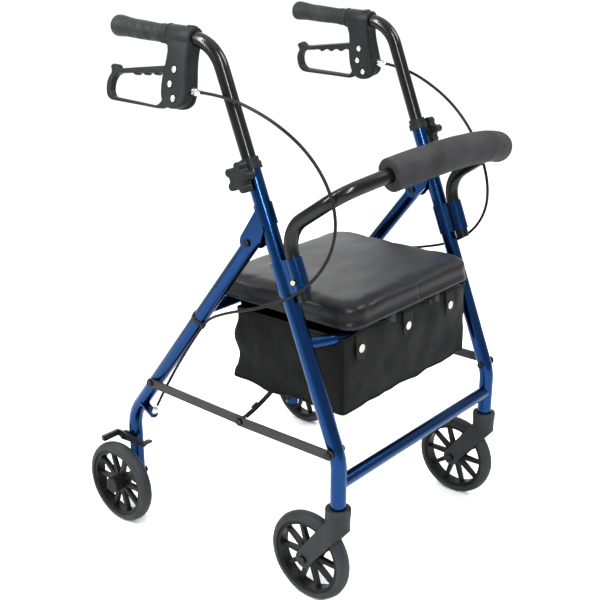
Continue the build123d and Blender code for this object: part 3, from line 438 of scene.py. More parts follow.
# ---- Casters, rims and other mouldings -----------------------------------------------------
# The caster forks are glass-filled nylon with a dull grain, the rims shinier nylon, and the
# collars, knobs, clips, housings and levers fine-grained black plastic.
caster_grey = moulded("caster_grey", (0.022, 0.023, 0.025), (0.034, 0.035, 0.037), 0.42, 0.6, 2200, 0.00012)
rim_black = moulded("rim_black", (0.007, 0.007, 0.007), (0.014, 0.014, 0.014), 0.3, 0.46, 1500, 0.0001)
moulded_black = moulded(
    "moulded_black", (0.013, 0.0135, 0.014), (0.023, 0.0235, 0.0245), 0.36, 0.52, 2400, 0.00012
)
dress(caster_grey, "caster_fork_right", "caster_fork_left")
dress(rim_black, "front_rim_right", "front_rim_left", "rear_rim_right", "rear_rim_left")
dress(
    moulded_black, "height_collars", "star_knob_right", "star_knob_left", "cable_clips",
    "seat_board",
)


# ---- Tyres ---------------------------------------------------------------------------------
# Solid grey rubber tyres, 152 mm across and 25 mm wide, pressed onto the rims. The moulds
# leave a fine ridge round the crown and a raised lip where the side wall meets the rim.
def settle(shape, name, material, body, sharp=40):
    """Turns a finished bmesh into a piece that rides on a body of the walker."""
    mesh = bpy.data.meshes.new(name)
    shape.to_mesh(mesh)
    shape.free()
    mesh.shade_smooth()
    mesh.set_sharp_from_angle(angle=radians(sharp))
    mesh.materials.append(material)
    piece = mounted(name, mesh)
    if body:
        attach(piece, body)
    return piece


def turned(profile, steps, place):
    """A ring or knob turned about X from points (along the axis, radius)."""
    shape = bmesh.new()
    corners = [shape.verts.new((x, 0, r)) for x, r in profile]
    edges = [shape.edges.new(pair) for pair in zip(corners, corners[1:])]
    edges.append(shape.edges.new((corners[-1], corners[0])))
    bmesh.ops.spin(
        shape, geom=corners + edges, cent=(0, 0, 0), axis=(1, 0, 0), angle=2 * pi,
        steps=steps, use_merge=True,
    )
    bmesh.ops.remove_doubles(shape, verts=shape.verts, dist=1e-6)
    bmesh.ops.recalc_face_normals(shape, faces=shape.faces)
    bmesh.ops.transform(shape, matrix=place, verts=shape.verts)
    return shape


tyre_rubber = moulded("tyre_rubber", (0.024, 0.025, 0.027), (0.042, 0.043, 0.046), 0.4, 0.62, 1400, 0.0002)
tyre_half = [
    (0, 0.0762), (0.0005, 0.0759), (0.0035, 0.0756), (0.0065, 0.0747), (0.0092, 0.0729), (0.011, 0.0704),
    (0.012, 0.0675), (0.0123, 0.0646), (0.0121, 0.0636), (0.0116, 0.0633), (0.0116, 0.0628),
    (0.0121, 0.0624), (0.0112, 0.06205),
]
tyre_profile = tyre_half + [(-x, r) for x, r in reversed(tyre_half[1:])]
for end in ("front", "rear"):
    for side in SIDES:
        low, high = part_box(f"{end}_tyre_{side}")
        hub = (Vector(low) + Vector(high)) / 2
        tyre = settle(
            turned(tyre_profile, 112, Matrix.Translation(hub)),
            f"tyre_{end}_{side}", tyre_rubber, f"{end}_wheel_{side}", 30,
        )
        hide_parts(f"{end}_tyre_{side}")


# ---- Brake springs -------------------------------------------------------------------------
# Open coils of bright wire over the bare end of the brake cable. They push each brake bar's
# finger down when the hand lets the lever go.
coil_turns = 13
turn_steps = 14
coil_wire = 0.00055
coil_gap = 0.0002
coil_lean = radians(14.9)
for side in SIDES:
    low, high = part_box(f"brake_spring_{side}")
    radius = (high[0] - low[0]) / 2
    rise, reach = radius * sin(coil_lean), radius * cos(coil_lean)
    top = Vector(((low[0] + high[0]) / 2, low[1] + reach, high[2] - rise))
    foot = Vector((top.x, high[1] - reach, low[2] + rise))
    run = foot - top
    across = Vector((1, 0, 0))
    behind = run.normalized().cross(across)
    coil_line = bpy.data.curves.new(f"coil_line_{side}", "CURVE")
    coil_line.dimensions = "3D"
    coil = coil_line.splines.new("POLY")
    coil.points.add(coil_turns * turn_steps)
    for step, point in enumerate(coil.points):
        angle = 2 * pi * step / turn_steps
        share = step / (coil_turns * turn_steps)
        outward = across * cos(angle) + behind * sin(angle)
        point.co = (*(top + run * share + outward * (radius - coil_wire - coil_gap)), 1)
    wire = coil_line.splines.new("POLY")
    wire.points.add(1)
    wire.points[0].co = (*(top - run * 0.04), 1)
    wire.points[1].co = (*(foot + run * 0.02), 1)
    coil_line.bevel_depth = coil_wire
    coil_line.bevel_resolution = 2
    coil_line.use_fill_caps = True
    spring = mounted(f"spring_{side}", drawn(coil_line, bright_steel))
    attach(spring, "rear_frame")
    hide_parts(f"brake_spring_{side}")
    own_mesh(spring)


# ---- Seat cushion --------------------------------------------------------------------------
# A foam slab on the board under one skin of black vinyl, stapled underneath. The foam crowns
# the top and rounds the edges, the corners pull in, and one short seam joins the side strip.
def vinyl(name):
    """Upholstery vinyl: pressed leather grain, stretch creases, satin skin and one seam."""
    material, tree = blank(name)
    place = tree.nodes.new("ShaderNodeTexCoord")
    place.label = "place on the seat"
    tone_frame = tree.nodes.new("NodeFrame")
    tone_frame.label = "rubbed tone"
    rub = tree.nodes.new("ShaderNodeTexNoise")
    rub.label = "sat-on patches"
    rub.inputs["Scale"].default_value = 7
    rub.inputs["Detail"].default_value = 4
    tone = tree.nodes.new("ShaderNodeValToRGB")
    tone.label = "black to charcoal"
    tone.color_ramp.elements[0].position = 0.3
    tone.color_ramp.elements[0].color = (0.004, 0.004, 0.0046, 1)
    tone.color_ramp.elements[1].position = 0.75
    tone.color_ramp.elements[1].color = (0.009, 0.009, 0.0098, 1)
    gloss = tree.nodes.new("ShaderNodeMapRange")
    gloss.label = "satin to dull"
    gloss.inputs["From Min"].default_value = 0.3
    gloss.inputs["From Max"].default_value = 0.7
    gloss.inputs["To Min"].default_value = 0.36
    gloss.inputs["To Max"].default_value = 0.5
    grain_frame = tree.nodes.new("NodeFrame")
    grain_frame.label = "pressed leather grain"
    pebble = tree.nodes.new("ShaderNodeTexVoronoi")
    pebble.label = "pebbles"
    pebble.feature = "DISTANCE_TO_EDGE"
    pebble.inputs["Scale"].default_value = 620
    grain = tree.nodes.new("ShaderNodeBump")
    grain.label = "grain depth"
    grain.inputs["Strength"].default_value = 0.22
    grain.inputs["Distance"].default_value = 0.0003
    crease_frame = tree.nodes.new("NodeFrame")
    crease_frame.label = "stretch creases"
    stretch = tree.nodes.new("ShaderNodeMapping")
    stretch.label = "creases run across"
    stretch.inputs["Scale"].default_value = (1, 1.6, 2)
    crease = tree.nodes.new("ShaderNodeTexNoise")
    crease.label = "soft creases"
    crease.inputs["Scale"].default_value = 16
    crease.inputs["Detail"].default_value = 3
    creases = tree.nodes.new("ShaderNodeBump")
    creases.label = "crease depth"
    creases.inputs["Strength"].default_value = 0.35
    creases.inputs["Distance"].default_value = 0.004
    seam_frame = tree.nodes.new("NodeFrame")
    seam_frame.label = "seam in the side strip"
    axes = tree.nodes.new("ShaderNodeSeparateXYZ")
    axes.label = "seat axes"
    offset = tree.nodes.new("ShaderNodeMath")
    offset.label = "away from the seam"
    offset.operation = "SUBTRACT"
    offset.inputs[1].default_value = 0.006
    either_side = tree.nodes.new("ShaderNodeMath")
    either_side.label = "either side"
    either_side.operation = "ABSOLUTE"
    groove = tree.nodes.new("ShaderNodeMapRange")
    groove.label = "groove width"
    groove.interpolation_type = "SMOOTHSTEP"
    groove.inputs["From Min"].default_value = 0.0003
    groove.inputs["From Max"].default_value = 0.0022
    front_only = tree.nodes.new("ShaderNodeMapRange")
    front_only.label = "front strip only"
    front_only.inputs["From Min"].default_value = -0.2225
    front_only.inputs["From Max"].default_value = -0.219
    seam = tree.nodes.new("ShaderNodeMath")
    seam.label = "flat away from the strip"
    seam.operation = "MAXIMUM"
    stitched = tree.nodes.new("ShaderNodeBump")
    stitched.label = "seam depth"
    stitched.inputs["Strength"].default_value = 0.8
    stitched.inputs["Distance"].default_value = 0.0016
    skin = tree.nodes.new("ShaderNodeBsdfPrincipled")
    skin.label = "vinyl skin"
    skin.inputs["Sheen Weight"].default_value = 0.05
    skin.inputs["Specular IOR Level"].default_value = 0.22
    skin.inputs["Coat Weight"].default_value = 0.08
    skin.inputs["Coat Roughness"].default_value = 0.3
    end = tree.nodes.new("ShaderNodeOutputMaterial")
    end.label = "surface"
    arranged((
        (None, (place,)), (tone_frame, (rub, tone, gloss)), (grain_frame, (pebble, grain)),
        (crease_frame, (stretch, crease, creases)),
        (seam_frame, (axes, offset, either_side, groove, front_only, seam, stitched)), (None, (skin, end)),
    ))
    tree.links.new(place.outputs["Object"], rub.inputs["Vector"])
    tree.links.new(place.outputs["Object"], pebble.inputs["Vector"])
    tree.links.new(place.outputs["Object"], stretch.inputs["Vector"])
    tree.links.new(place.outputs["Object"], axes.inputs["Vector"])
    tree.links.new(rub.outputs["Fac"], tone.inputs["Fac"])
    tree.links.new(rub.outputs["Fac"], gloss.inputs["Value"])
    tree.links.new(tone.outputs["Color"], skin.inputs["Base Color"])
    tree.links.new(gloss.outputs["Result"], skin.inputs["Roughness"])
    tree.links.new(stretch.outputs["Vector"], crease.inputs["Vector"])
    tree.links.new(axes.outputs["X"], offset.inputs[0])
    tree.links.new(offset.outputs["Value"], either_side.inputs[0])
    tree.links.new(either_side.outputs["Value"], groove.inputs["Value"])
    tree.links.new(axes.outputs["Y"], front_only.inputs["Value"])
    tree.links.new(groove.outputs["Result"], seam.inputs[0])
    tree.links.new(front_only.outputs["Result"], seam.inputs[1])
    tree.links.new(seam.outputs["Value"], stitched.inputs["Height"])
    tree.links.new(crease.outputs["Fac"], creases.inputs["Height"])
    tree.links.new(stitched.outputs["Normal"], creases.inputs["Normal"])
    tree.links.new(creases.outputs["Normal"], grain.inputs["Normal"])
    tree.links.new(pebble.outputs["Distance"], grain.inputs["Height"])
    tree.links.new(grain.outputs["Normal"], skin.inputs["Normal"])
    tree.links.new(skin.outputs["BSDF"], end.inputs["Surface"])
    return material


def eased_edges(shape, edges, offset, segments):
    """Rounds edges to a radius."""
    bmesh.ops.bevel(
        shape, geom=edges, offset=offset, offset_type="OFFSET", affect="EDGES", segments=segments,
        profile=0.5, material=-1,
    )


def block(size):
    """A plain block about the origin."""
    shape = bmesh.new()
    bmesh.ops.create_cube(shape, size=1)
    bmesh.ops.scale(shape, vec=size, verts=shape.verts)
    return shape


def height_of(edge):
    """How far an edge climbs."""
    return abs(edge.verts[0].co.z - edge.verts[1].co.z)


slab_inset = 0.0035
skirt_drop = 0.0046
low, high = (Vector(corner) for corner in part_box("seat_cushion"))
low.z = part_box("seat_board")[1][2] - skirt_drop
slab_size = high - low - Vector((2 * slab_inset, 2 * slab_inset, slab_inset))
slab_middle = (low + high) / 2 - Vector((0, 0, slab_inset / 2))
slab = block(slab_size)
eased_edges(slab, [e for e in slab.edges if height_of(e) > 0.01], 0.036, 10)
eased_edges(slab, [e for e in slab.edges if height_of(e) < 0.001 and e.verts[0].co.z > 0], 0.0095, 5)
under = [e for e in slab.edges if all(v.co.z < 1e-4 - slab_size.z / 2 for v in e.verts)]
eased_edges(slab, under, 0.004, 3)
bmesh.ops.translate(slab, vec=slab_middle, verts=slab.verts)
cushion = settle(slab, "seat_pad", vinyl("seat_vinyl"), None)
bpy.context.view_layer.objects.active = cushion
cushion.select_set(True)
remesh = cushion.modifiers.new("even skin", "REMESH")
remesh.mode = "VOXEL"
remesh.voxel_size = 0.005
bpy.ops.object.modifier_apply(modifier=remesh.name)
flat_skin = [vertex.co.copy() for vertex in cushion.data.vertices]
stuffing = cushion.modifiers.new("stuffing", "CLOTH")
stuffing.settings.use_pressure = True
stuffing.settings.uniform_pressure_force = 4
stuffing.settings.effector_weights.gravity = 0
stuffing.settings.quality = 6
settle_ticks = 20
stuffing.point_cache.frame_start = 1
stuffing.point_cache.frame_end = settle_ticks
for tick in range(1, settle_ticks + 1):
    scene.frame_set(tick)
bpy.ops.object.modifier_apply(modifier=stuffing.name)
scene.frame_set(1)
most_swell = 0.0058
stapled = 0.012
for vertex, flat in zip(cushion.data.vertices, flat_skin):
    swell = vertex.co - flat
    if swell.length > most_swell:
        swell *= most_swell / swell.length
    free = min(1, (flat.z - low.z) / stapled)
    vertex.co = flat + swell * free * free * (3 - 2 * free)
finer = cushion.modifiers.new("finer skin", "SUBSURF")
finer.levels = 1
finer.render_levels = 1
bpy.ops.object.modifier_apply(modifier=finer.name)
cushion.select_set(False)
cushion.data.shade_smooth()
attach(cushion, "seat")
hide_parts("seat_cushion")


# ---- Storage bag ---------------------------------------------------------------------------
# Coated black nylon sewn into an open box, with bound edges. Three webbing tabs loop over the
# seat's front bar and snap onto the front, three more hold the back to the rear bar, and the
# sides belly out between the corners.
def woven(name, dark, light, rough_low, rough_high, pitch, depth, sheen):
    """Woven cloth or webbing: two crossing sets of yarn, faded patches and soft creases."""
    material, tree = blank(name)
    place = tree.nodes.new("ShaderNodeTexCoord")
    place.label = "place on the cloth"
    yarn_frame = tree.nodes.new("NodeFrame")
    yarn_frame.label = "crossing yarns"
    turn = tree.nodes.new("ShaderNodeMapping")
    turn.label = "same weave on the front and the sides"
    turn.inputs["Rotation"].default_value = (0, 0, radians(45))
    weft = tree.nodes.new("ShaderNodeTexWave")
    weft.label = "weft"
    weft.bands_direction = "Z"
    weft.inputs["Scale"].default_value = pitch
    weft.inputs["Distortion"].default_value = 0.6
    warp = tree.nodes.new("ShaderNodeTexWave")
    warp.label = "warp"
    warp.bands_direction = "X"
    warp.inputs["Scale"].default_value = pitch * 1.4
    warp.inputs["Distortion"].default_value = 0.6
    cross = tree.nodes.new("ShaderNodeMath")
    cross.label = "over and under"
    cross.operation = "MULTIPLY"
    weave = tree.nodes.new("ShaderNodeBump")
    weave.label = "weave depth"
    weave.inputs["Strength"].default_value = 0.5
    weave.inputs["Distance"].default_value = depth
    fade_frame = tree.nodes.new("NodeFrame")
    fade_frame.label = "faded and creased"
    fade = tree.nodes.new("ShaderNodeTexNoise")
    fade.label = "rubbed patches"
    fade.inputs["Scale"].default_value = 14
    fade.inputs["Detail"].default_value = 5
    tone = tree.nodes.new("ShaderNodeValToRGB")
    tone.label = "black to faded"
    tone.color_ramp.elements[0].position = 0.32
    tone.color_ramp.elements[0].color = (*dark, 1)
    tone.color_ramp.elements[1].position = 0.72
    tone.color_ramp.elements[1].color = (*light, 1)
    gloss = tree.nodes.new("ShaderNodeMapRange")
    gloss.label = "coating to bare cloth"
    gloss.inputs["From Min"].default_value = 0.3
    gloss.inputs["From Max"].default_value = 0.7
    gloss.inputs["To Min"].default_value = rough_low
    gloss.inputs["To Max"].default_value = rough_high
    crumple = tree.nodes.new("ShaderNodeTexNoise")
    crumple.label = "small creases"
    crumple.inputs["Scale"].default_value = 42
    crumple.inputs["Detail"].default_value = 3
    creases = tree.nodes.new("ShaderNodeBump")
    creases.label = "crease depth"
    creases.inputs["Strength"].default_value = 0.3
    creases.inputs["Distance"].default_value = 0.0025
    cloth = tree.nodes.new("ShaderNodeBsdfPrincipled")
    cloth.label = "coated cloth"
    cloth.inputs["Specular IOR Level"].default_value = 0.13
    cloth.inputs["Sheen Weight"].default_value = sheen
    cloth.inputs["Sheen Roughness"].default_value = 0.5
    end = tree.nodes.new("ShaderNodeOutputMaterial")
    end.label = "surface"
    arranged((
        (None, (place,)), (yarn_frame, (turn, weft, warp, cross, weave)),
        (fade_frame, (fade, tone, gloss, crumple, creases)), (None, (cloth, end)),
    ))
    for node in (turn, fade, crumple):
        tree.links.new(place.outputs["Object"], node.inputs["Vector"])
    tree.links.new(turn.outputs["Vector"], weft.inputs["Vector"])
    tree.links.new(turn.outputs["Vector"], warp.inputs["Vector"])
    tree.links.new(weft.outputs["Fac"], cross.inputs[0])
    tree.links.new(warp.outputs["Fac"], cross.inputs[1])
    tree.links.new(fade.outputs["Fac"], tone.inputs["Fac"])
    tree.links.new(fade.outputs["Fac"], gloss.inputs["Value"])
    tree.links.new(tone.outputs["Color"], cloth.inputs["Base Color"])
    tree.links.new(gloss.outputs["Result"], cloth.inputs["Roughness"])
    tree.links.new(crumple.outputs["Fac"], creases.inputs["Height"])
    tree.links.new(creases.outputs["Normal"], weave.inputs["Normal"])
    tree.links.new(cross.outputs["Value"], weave.inputs["Height"])
    tree.links.new(weave.outputs["Normal"], cloth.inputs["Normal"])
    tree.links.new(cloth.outputs["BSDF"], end.inputs["Surface"])
    return material


def drawn_out(shape, edges):
    """Draws a row of edges out by one more row, and gives the new corners and edges."""
    grown = bmesh.ops.extrude_edge_only(shape, edges=edges)["geom"]
    corners = [item for item in grown if isinstance(item, bmesh.types.BMVert)]
    return corners, [item for item in grown if isinstance(item, bmesh.types.BMEdge)]


bag_half = 0.174
bag_front, bag_back = -0.2150, 0.0140
bag_middle = (bag_front + bag_back) / 2
bag_deep = (bag_back - bag_front) / 2
bag_low, bag_high = 0.318, 0.4425
tab_places = (-0.137, -0.010, 0.117)
side_belly, end_belly = 0.0065, 0.004
rear_ripple, rear_draw = 0.0048, 0.003
foot_out, foot_wide = 0.0055, 0.0015
stay_y, stay_out, stay_down = -0.070, 0.003, 0.0035
floor_sag = 0.004
hem_rise, hem_dip, hem_wave = 0.0058, 0.0022, 0.0022
coarse_wrinkle, fine_wrinkle = 0.0032, 0.0013


def hang(point, outward):
    """Where a point of the flat-sided bag goes once the bag hangs: bellied, creased and pulled."""
    share = (point.z - bag_low) / (bag_high - bag_low)
    along_x = point.x / bag_half
    along_y = (point.y - bag_middle) / bag_deep
    moved = point.copy()
    on_side = abs(outward.x) > 0.75
    run = along_y if on_side else along_x
    belly = sin(pi * min(max(share, 0), 1)) * (1 - run * run)
    moved += outward * belly * (side_belly if on_side else end_belly)
    rear = max(along_y, 0) ** 3
    moved.y += rear * (rear_ripple * sin(11.5 * share + 0.9) - rear_draw) * (1 - share * 0.3)
    foot = max(0, 1 - share / 0.16)
    moved.y += rear * foot * foot_out
    moved.x += along_x * foot * foot_wide
    pull = exp(-((point.y - stay_y) / 0.035) ** 2) * max(0, 1 - share / 0.3) * abs(along_x) ** 4
    moved.x += stay_out * pull * (1 if point.x > 0 else -1)
    moved.z -= stay_down * pull
    if share < 0.02:
        moved.z -= floor_sag * max(0, 1 - along_x ** 2) * max(0, 1 - along_y ** 2)
    if along_y < -0.9:
        gap = min(abs(point.x - x) for x in tab_places)
        top = max(0, (share - 0.6) / 0.4)
        moved.z += hem_rise * top * min(1, max(0, (0.164 - abs(point.x)) / 0.022))
        moved.z -= hem_dip * top * min(1, (gap / 0.055) ** 2)
        moved.y += hem_wave * top * sin(point.x * 95 + share * 5) * min(1, gap / 0.03)
    wrinkle = noise.noise(point * 26) * coarse_wrinkle
    wrinkle += noise.noise(point * 61 + Vector((4, 1, 7))) * fine_wrinkle
    moved += outward * wrinkle * min(1, 4 * abs(1 - share) + 0.3)
    return moved


nylon = woven("bag_nylon", (0.0016, 0.0017, 0.0018), (0.0042, 0.0044, 0.0046), 0.46, 0.62, 420, 0.0003, 0.03)
webbing = woven("webbing", (0.0024, 0.0028, 0.0027), (0.0062, 0.0068, 0.0066), 0.36, 0.5, 240, 0.0005, 0.03)
bag_rows = 18
bag = block((2 * bag_half, 2 * bag_deep, bag_high - bag_low))
bmesh.ops.translate(bag, vec=(0, bag_middle, (bag_low + bag_high) / 2), verts=bag.verts)
open_faces = [face for face in bag.faces if abs(face.normal.z) > 0.5]
bmesh.ops.delete(bag, geom=open_faces, context="FACES_ONLY")
eased_edges(bag, [e for e in bag.edges if height_of(e) > 0.05], 0.006, 4)
level = [e for e in bag.edges if height_of(e) < 1e-5 and e.calc_length() > 0.1]
bmesh.ops.subdivide_edges(bag, edges=level, cuts=35, use_grid_fill=True)
upright = [e for e in bag.edges if height_of(e) > 0.05]
bmesh.ops.subdivide_edges(bag, edges=upright, cuts=bag_rows - 1, use_grid_fill=True)
rim = [e for e in bag.edges if e.is_boundary and e.verts[0].co.z < bag_low + 0.001]
for shrink in (0.94, 0.86, 0.8, 0.72, 0.55, 0.4):
    inner, rim = drawn_out(bag, rim)
    bmesh.ops.scale(bag, vec=(shrink, shrink, 1), space=Matrix.Translation((0, -bag_middle, 0)), verts=inner)
bmesh.ops.edgeloop_fill(bag, edges=rim)
bmesh.ops.recalc_face_normals(bag, faces=bag.faces)
middles = {face: face.calc_center_median() for face in bag.faces}
floor_face = min(middles, key=lambda face: middles[face].z + abs(middles[face].x))
if floor_face.normal.z > 0:
    bmesh.ops.reverse_faces(bag, faces=bag.faces)
bag.normal_update()
hung = [hang(vertex.co, vertex.normal) for vertex in bag.verts]
hems = {"hem": [], "base": [], "front_right": [], "front_left": [], "rear_right": [], "rear_left": []}
for row in range(bag_rows + 1):
    height = bag_low + (bag_high - bag_low) * row / bag_rows
    ring = [pair for pair in zip(bag.verts, hung) if abs(pair[0].co.z - height) < 0.0012]
    for name in list(hems)[2:]:
        x_way = -1 if "right" in name else 1
        y_way = -1 if "front" in name else 1
        vertex, place = max(ring, key=lambda pair: x_way * pair[0].co.x + y_way * pair[0].co.y)
        hems[name].append((vertex.co.copy(), place.copy()))
for vertex, place in zip(bag.verts, hung):
    if vertex.co.z > bag_high - 0.001:
        hems["hem"].append((vertex.co.copy(), place + Vector((0, 0, -0.0008))))
    elif vertex.co.z < bag_low + 0.001 and any(height_of(edge) > 0.004 for edge in vertex.link_edges):
        hems["base"].append((vertex.co.copy(), place))
for vertex, place in zip(bag.verts, hung):
    vertex.co = place
bag_piece = settle(bag, "bag", nylon, None, 60)
wall = bag_piece.modifiers.new("cloth thickness", "SOLIDIFY")
wall.thickness = 0.0014
wall.offset = -1
bag_pieces = [bag_piece]

# binding sewn round the top hem and the base and up the corners
for name, points in hems.items():
    upright = "_" in name
    if not upright:
        points.sort(key=lambda pair: atan2((pair[0].y - bag_middle) * bag_half / bag_deep, pair[0].x))
    loop = [place for flat, place in points]
    binding = bpy.data.curves.new(name, "CURVE")
    binding.dimensions = "3D"
    stitched = binding.splines.new("POLY")
    stitched.points.add(len(loop) - 1)
    for point, place in zip(stitched.points, loop):
        point.co = (*place, 1)
    stitched.use_cyclic_u = not upright
    binding.bevel_depth = 0.0016
    binding.bevel_resolution = 2
    bag_pieces.append(mounted(f"bag_{name}", drawn(binding, webbing)))


def ribbon(rows, middle):
    """A strip of webbing across X through rows of (y, z, half width)."""
    strip = bmesh.new()
    y, z, half = rows[0]
    columns = [strip.verts.new((middle + half * step / 4, y, z)) for step in range(-4, 5)]
    edges = [strip.edges.new(pair) for pair in zip(columns, columns[1:])]
    for (y0, z0, half0), (y1, z1, half1) in zip(rows, rows[1:]):
        columns, edges = drawn_out(strip, edges)
        for vertex in columns:
            x, y, z = vertex.co
            vertex.co = (middle + (x - middle) * half1 / half0, y + y1 - y0, z + z1 - z0)
    return strip


tab_half = 0.013
front_bar_y, front_bar_z, front_wrap = -0.2025, 0.438, 0.0138
front_rows = [(front_bar_y + front_wrap, z, tab_half) for z in (0.4275, 0.433)]
for step in range(9):
    angle = pi * step / 8
    front_rows.append((front_bar_y + front_wrap * cos(angle), front_bar_z + front_wrap * sin(angle), tab_half))
front_rows += [
    (-0.2170, 0.430, tab_half), (-0.2178, 0.424, tab_half), (-0.2182, 0.4185, tab_half),
    (-0.2181, 0.4121, 0.0129), (-0.2180, 0.4080, 0.0125), (-0.2179, 0.4040, 0.0110),
    (-0.2179, 0.4012, 0.0090), (-0.2180, 0.3990, 0.0062), (-0.2181, 0.3977, 0.0032),
]
rear_bar_y, rear_bar_z, rear_wrap = 0.0347, 0.4455, 0.0108
rear_rows = [(0.0128, 0.418, tab_half), (0.0165, 0.430, tab_half), (rear_bar_y - 0.0112, 0.440, tab_half)]
for step in range(9):
    angle = pi - pi * 1.25 * step / 8
    rear_rows.append((rear_bar_y + rear_wrap * cos(angle), rear_bar_z + rear_wrap * sin(angle), tab_half))
for number, x in enumerate(tab_places):
    for end, rows in (("front", front_rows), ("rear", rear_rows)):
        tab = ribbon(rows, x)
        bmesh.ops.recalc_face_normals(tab, faces=tab.faces)
        tab_piece = settle(tab, f"bag_tab_{end}_{number}", webbing, None, 70)
        woven_wall = tab_piece.modifiers.new("webbing thickness", "SOLIDIFY")
        woven_wall.thickness = 0.0016
        woven_wall.offset = 0
        edges = tab_piece.modifiers.new("soft edges", "BEVEL")
        edges.width = 0.0005
        edges.segments = 2
        bag_pieces.append(tab_piece)
for piece in bag_pieces:
    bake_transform(piece)
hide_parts("storage_bag")


# ---- Snap studs ----------------------------------------------------------------------------
# A pressed domed cap on each front tab, cream enamel over brass, with a rolled rim. It is
# riveted through the webbing and snaps onto a stud in the bag's front.
def into(shape, addition):
    """Adds one finished shape to another."""
    carrier = bpy.data.meshes.new("carrier")
    addition.to_mesh(carrier)
    addition.free()
    shape.from_mesh(carrier)
    bpy.data.meshes.remove(carrier)


snap_cream = moulded("snap_cream", (0.36, 0.33, 0.285), (0.5, 0.47, 0.42), 0.25, 0.45, 700, 0.0001, coat=0.3)
snap_profile = [
    (0, 0.0067), (0.0004, 0.0071), (0.0009, 0.0071), (0.0012, 0.0067), (0.0011, 0.0059), (0.0016, 0.0052),
    (0.0020, 0.0038), (0.0022, 0.0020), (0.0023, 0), (0, 0),
]
snaps = bmesh.new()
for x in tab_places:
    place = Matrix.Translation((x, -0.2189, 0.418)) @ Matrix.Rotation(radians(-90), 4, "Z")
    into(snaps, turned(snap_profile, 24, place))
snap_piece = settle(snaps, "snap_studs", snap_cream, "front_frame")
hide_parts("bag_snaps")


# ---- Stay straps ---------------------------------------------------------------------------
# Narrow webbing from each lower side of the bag to the middle of the side brace, with a
# black ladder slider near the brace. It hauls the bag flat as the braces fold.
strap_rows = 14
strap_sag = 0.0022
for side, s in SIDES.items():
    start = Vector((s * 0.1762, -0.070, 0.3185))
    finish = Vector((s * 0.2258, -0.0532, 0.282))
    strip = bmesh.new()
    columns = [strip.verts.new(start + Vector((0, width, 0))) for width in (-0.0045, -0.0015, 0.0015, 0.0045)]
    edges = [strip.edges.new(pair) for pair in zip(columns, columns[1:])]
    for row in range(strap_rows):
        columns, edges = drawn_out(strip, edges)
        sag = Vector((0, 0, strap_sag * (sin(pi * row / strap_rows) - sin(pi * (row + 1) / strap_rows))))
        bmesh.ops.translate(strip, vec=(finish - start) / strap_rows + sag, verts=columns)
    bmesh.ops.recalc_face_normals(strip, faces=strip.faces)
    bmesh.ops.solidify(strip, geom=strip.faces, thickness=0.0014)
    slope = (finish - start).normalized()
    slider = block((0.013, 0.0125, 0.0038))
    eased_edges(slider, list(slider.edges), 0.0011, 2)
    place = Matrix.Translation(start.lerp(finish, 0.62)) @ slope.to_track_quat("X", "Z").to_matrix().to_4x4()
    bmesh.ops.transform(slider, matrix=place, verts=slider.verts)
    into(strip, slider)
    strap = settle(strip, f"stay_strap_{side}", webbing, None)
    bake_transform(strap)
    if s > 0:
        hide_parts("bag_straps")


# ---- Back rest foam ------------------------------------------------------------------------
# A tube of closed-cell foam, 51 mm thick, pushed over the bow before it was bent. Its ends
# are cut square, so they show the cells and the bore, and its skin is a little uneven.
def swept(stations, steps):
    """A round sleeve through stations of (centre, direction, flat normal, radius)."""
    shape = bmesh.new()
    ring = bmesh.ops.create_circle(shape, segments=steps, radius=1, cap_ends=False)["verts"]
    edges = list(shape.edges)
    before = Matrix.Identity(4)
    for number, (centre, along, flat, radius) in enumerate(stations):
        after = Matrix((flat * radius, along.cross(flat) * radius, along)).transposed().to_4x4()
        after.translation = centre
        if number:
            ring, edges = drawn_out(shape, edges)
        bmesh.ops.transform(shape, matrix=after @ before.inverted(), verts=ring)
        before = after
    bmesh.ops.recalc_face_normals(shape, faces=shape.faces)
    return shape


bow_rise = atan2(0.69, 1)
bow_out = Vector((0, -cos(bow_rise), sin(bow_rise)))
bow_foot = Vector((0, -0.1685, 0.631))
bow_normal = Vector((1, 0, 0)).cross(bow_out)
front_arc, front_middle = 0.5, 0.133 - 0.5
turn_arc, turn_x = 0.05, 0.17
turn_v = front_middle + sqrt((front_arc - turn_arc) ** 2 - turn_x ** 2)
meet_angle = atan2(turn_v - front_middle, turn_x)
foam_line = []
first_angle = pi - atan2(sqrt(front_arc ** 2 - 0.138 ** 2), 0.138)
for step in range(45):
    angle = first_angle + (meet_angle - first_angle) * step / 44
    foam_line.append((front_arc * cos(angle), front_middle + front_arc * sin(angle), angle - pi / 2))
for step in range(1, 7):
    angle = meet_angle + (radians(50) - meet_angle) * step / 6
    foam_line.append((turn_x + turn_arc * cos(angle), turn_v + turn_arc * sin(angle), angle - pi / 2))
foam_radius, foam_bore = 0.0252, 0.0116
skin_uneven = 0.0006
stations = []
for x, v, heading in foam_line:
    along = Vector((1, 0, 0)) * cos(heading) + bow_out * sin(heading)
    stations.append((bow_foot + Vector((x, 0, 0)) + bow_out * v, along, bow_normal, foam_radius))
near, far = stations[0], stations[-1]
rounding = ((0.0, 0.0016), (0.0005, 0.0006), (0.0016, 0.0))
lead = [(near[0] + near[1] * back, near[1], bow_normal, foam_radius - cut) for back, cut in rounding]
tail = [(far[0] - far[1] * back, far[1], bow_normal, foam_radius - cut) for back, cut in reversed(rounding)]
mouth = [(near[0] + near[1] * deep, near[1], bow_normal, foam_bore) for deep in (0.012, 0.0004)]
mouth_far = [(far[0] - far[1] * deep, far[1], bow_normal, foam_bore) for deep in (0.0004, 0.012)]
foam_shape = swept(mouth + lead + stations[1:-1] + tail + mouth_far, 56)
for vertex in foam_shape.verts:
    vertex.co += vertex.normal * noise.noise(vertex.co * 34) * skin_uneven
